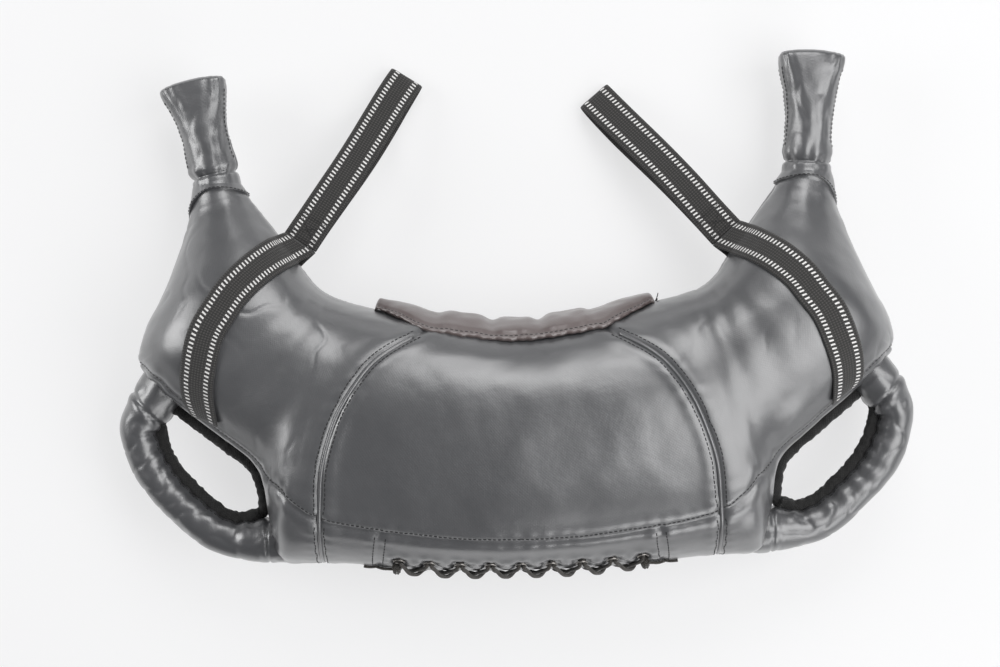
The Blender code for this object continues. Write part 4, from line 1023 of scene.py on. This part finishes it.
def hand_hole(which, line):
    """The tape that binds the hand hole: an oval, half on the roll and half on the bag."""
    side = SIDES[which]
    on_roll = (line - outward(line, side) * TAPE_FROM_ROLL)[12:106]
    us = np.linspace(5.28, 8.22, 110) / STATIONS * side
    edge, outs = lay(skin(us, 180) * FLAT + UP * LEVEL_Z)
    on_bag = edge + unit(outs * FLAT) * TAPE_FROM_BAG
    oval = np.concatenate((on_bag, on_roll[::-1]))
    oval[:, 2] = LEVEL_Z
    closed = np.concatenate((oval, oval[:1]))
    legs = run(closed)
    oval = along_line(closed, legs, np.linspace(0, legs[-1], OVAL_POINTS + 1)[:-1])
    for _ in range(34):
        oval = (np.roll(oval, 1, 0) + 2 * oval + np.roll(oval, -1, 0)) / 4
    part = int(OVAL_POINTS * run(on_bag)[-1] / legs[-1]) + 4
    halves = (("hole", "bag", np.arange(-6, part + 4)),
              ("handle", f"{which}_handle", np.arange(part - 2, OVAL_POINTS)))
    for label, body, picks in halves:
        piece = tube(f"{which}_{label}_tape", oval[picks % OVAL_POINTS], TAPE,
                     (TAPE_HALF_WIDTH, TAPE_HALF_DEPTH), UP, 20, 0.0013, side)
        place(piece, body, "binding", f"{which}_{label}_binding")


for which in SIDES:
    side_handle(which)


# ---- lacing
LACE_RADIUS, LACE_GAP, SEAT_GAP, SHEET = 0.0014, 0.0005, 0.0003, 0.0008
CORD_RADIUS = 0.0017  # the braid with its fuzz, a little fuller than the solid lace
EYELET_BORE = 2 * LACE_RADIUS + LACE_GAP * 1.5
# An eyelet's section from its bore outward: radius past the bore and height over the skin.
EYELET = ((0, -0.0016), (0, 0.0002), (0.0002, 0.0007), (0.0007, 0.0011), (0.0013, 0.0009),
          (0.0018, 0.0004), (0.0018, 0.0001))
TASSEL_STRANDS, STRAND_RADIUS, WRAP_RADIUS, TAIL_RADIUS = 7, 0.00105, 0.0011, 0.0013
WRAP_DROPS = (0.0058, 0.0077)


def eyelet_frame(u, turn):
    """A place on the skin, with its directions along the belly, round it and outward."""
    here = skin(u, turn)
    along = unit(skin(u + 0.001, turn) - skin(u - 0.001, turn))
    around = unit(skin(u, turn + 0.06) - skin(u, turn - 0.06))
    out = unit(np.cross(along, around))
    out = out if np.dot(out, here - np.array((0, -0.1, 0.06))) > 0 else -out
    return here, along, around, out


def eyelets(name, turn):
    """One row of eyelets as a single piece."""
    angle = np.arange(20) / 20 * math.tau
    pieces = []
    for u in EYELET_SPOTS:
        here, along, around, out = eyelet_frame(u, turn)
        grid = np.array([[here + out * high + (EYELET_BORE + past)
                          * (math.cos(t) * along + math.sin(t) * around) for t in angle]
                         for past, high in EYELET])
        blank = np.zeros((*grid.shape[:2], 2))
        pieces.append(grid_piece("eyelet", grid, METAL, blank, caps=False))
    return merge(name, pieces)


def lace_line():
    """Out over the slit on both ways across, and up behind the flaps."""
    apart = 0.0016 / np.linalg.norm((skin(0.001, SLIT_TURN) - skin(-0.001, SLIT_TURN)) / 0.002)
    over = SEAT_GAP + SHEET + LACE_GAP + LACE_RADIUS
    low = 0.0012 + LACE_RADIUS
    high = low + 2 * LACE_RADIUS + LACE_GAP
    shallow = -(0.0015 + LACE_GAP + LACE_RADIUS)
    deep = shallow - 2 * LACE_RADIUS - LACE_GAP
    spots, last = EYELET_SPOTS, EYELETS - 1
    route = []

    def add(u, turn, lift):
        route.append(skin(u, turn, lift))

    def crossing(a, b, height):
        for share, lift in ((0.02, over * 0.7), (0.16, over), (0.33, height),
                            (0.5, height + 0.0006), (0.67, height), (0.84, over),
                            (0.98, over * 0.7)):
            add(a + (b - a) * share, UPPER_TURN + (LOWER_TURN - UPPER_TURN) * share, lift)

    def rung(a, b, depth):
        for share in (0.0, 0.5, 1.0):
            add(a + (b - a) * share, LOWER_TURN + (UPPER_TURN - LOWER_TURN) * share, depth)

    add(spots[0] + apart, UPPER_TURN, shallow)
    for k in range(last):
        end = spots[k + 1] + (apart if k < last - 1 else 0)
        crossing(spots[k] + apart, spots[k + 1] - apart, high)
        rung(spots[k + 1] - apart, end, shallow)
    for k in range(last, 0, -1):
        start = spots[k] - (apart if k < last else 0)
        crossing(start, spots[k - 1] + apart, low)
        rung(spots[k - 1] + apart, spots[k - 1] - apart, deep)
    return np.array(route)


def lacing():
    """The eyelets, the lace, and a knot with loose strands and a tail at each end."""
    for name, turn in (("upper_eyelet", UPPER_TURN), ("lower_eyelet", LOWER_TURN)):
        place(eyelets(f"{name}_rings", turn), "bag", "eyelet_metal",
              *[f"{name}_{k + 1}" for k in range(EYELETS)])
    route = lace_line()
    fine = through(route, np.linspace(0, 1, len(route) * 4))
    legs = run(fine)
    fine = along_line(fine, legs, np.linspace(0, legs[-1], len(route) * 5))
    ups = unit(fine * np.array((0, 1, 1)) - np.array((0, -0.1, 0.06)))
    place(tube("lace_cord", fine, CORD, CORD_RADIUS, ups, 10), "bag", "cord", "lace")
    for which, side in SIDES.items():
        u = side * LAST_EYELET
        bundles = []
        here, along, around, out = eyelet_frame(u, UPPER_TURN)
        for k in range(TASSEL_STRANDS):
            spin = k * 2.399
            sway = 0.0016 * math.cos(spin) * along + 0.0013 * math.sin(spin) * out
            share = np.linspace(0, 1, 14)[:, None]
            drop = 0.004 + (0.015 + 0.002 * math.sin(k * 4.1)) * share
            points = (here + along * side * 0.0014 + out * (0.0032 + 0.0012 * np.sin(share * 3.0))
                      + around * drop + sway * (0.5 + np.sin(share * math.pi) * 0.6 + share))
            bundles.append(tube("strand", points, CORD, STRAND_RADIUS, out, 7))
        for drop in WRAP_DROPS:
            turns = np.linspace(0, math.tau, 20)[:, None]
            ring = (here + along * side * 0.0014 + out * 0.0036 + around * drop
                    + 0.0033 * np.cos(turns) * along + 0.0026 * np.sin(turns) * out)
            bundles.append(tube("wrap", ring, CORD, WRAP_RADIUS, around, 7, caps=False))
        place(merge(f"{which}_lace_tassel", bundles), "bag", "cord", f"{which}_lace_knot")
        us = np.linspace(1.0, 1.3, 24) * u
        tail, outs = lay(skin(us, 165 + 4 * np.sin(np.linspace(0, 2, 24))), 0.0014)
        place(tube(f"{which}_lace_tail", tail, CORD, TAIL_RADIUS, outs, 8), "bag", "cord")


lacing()
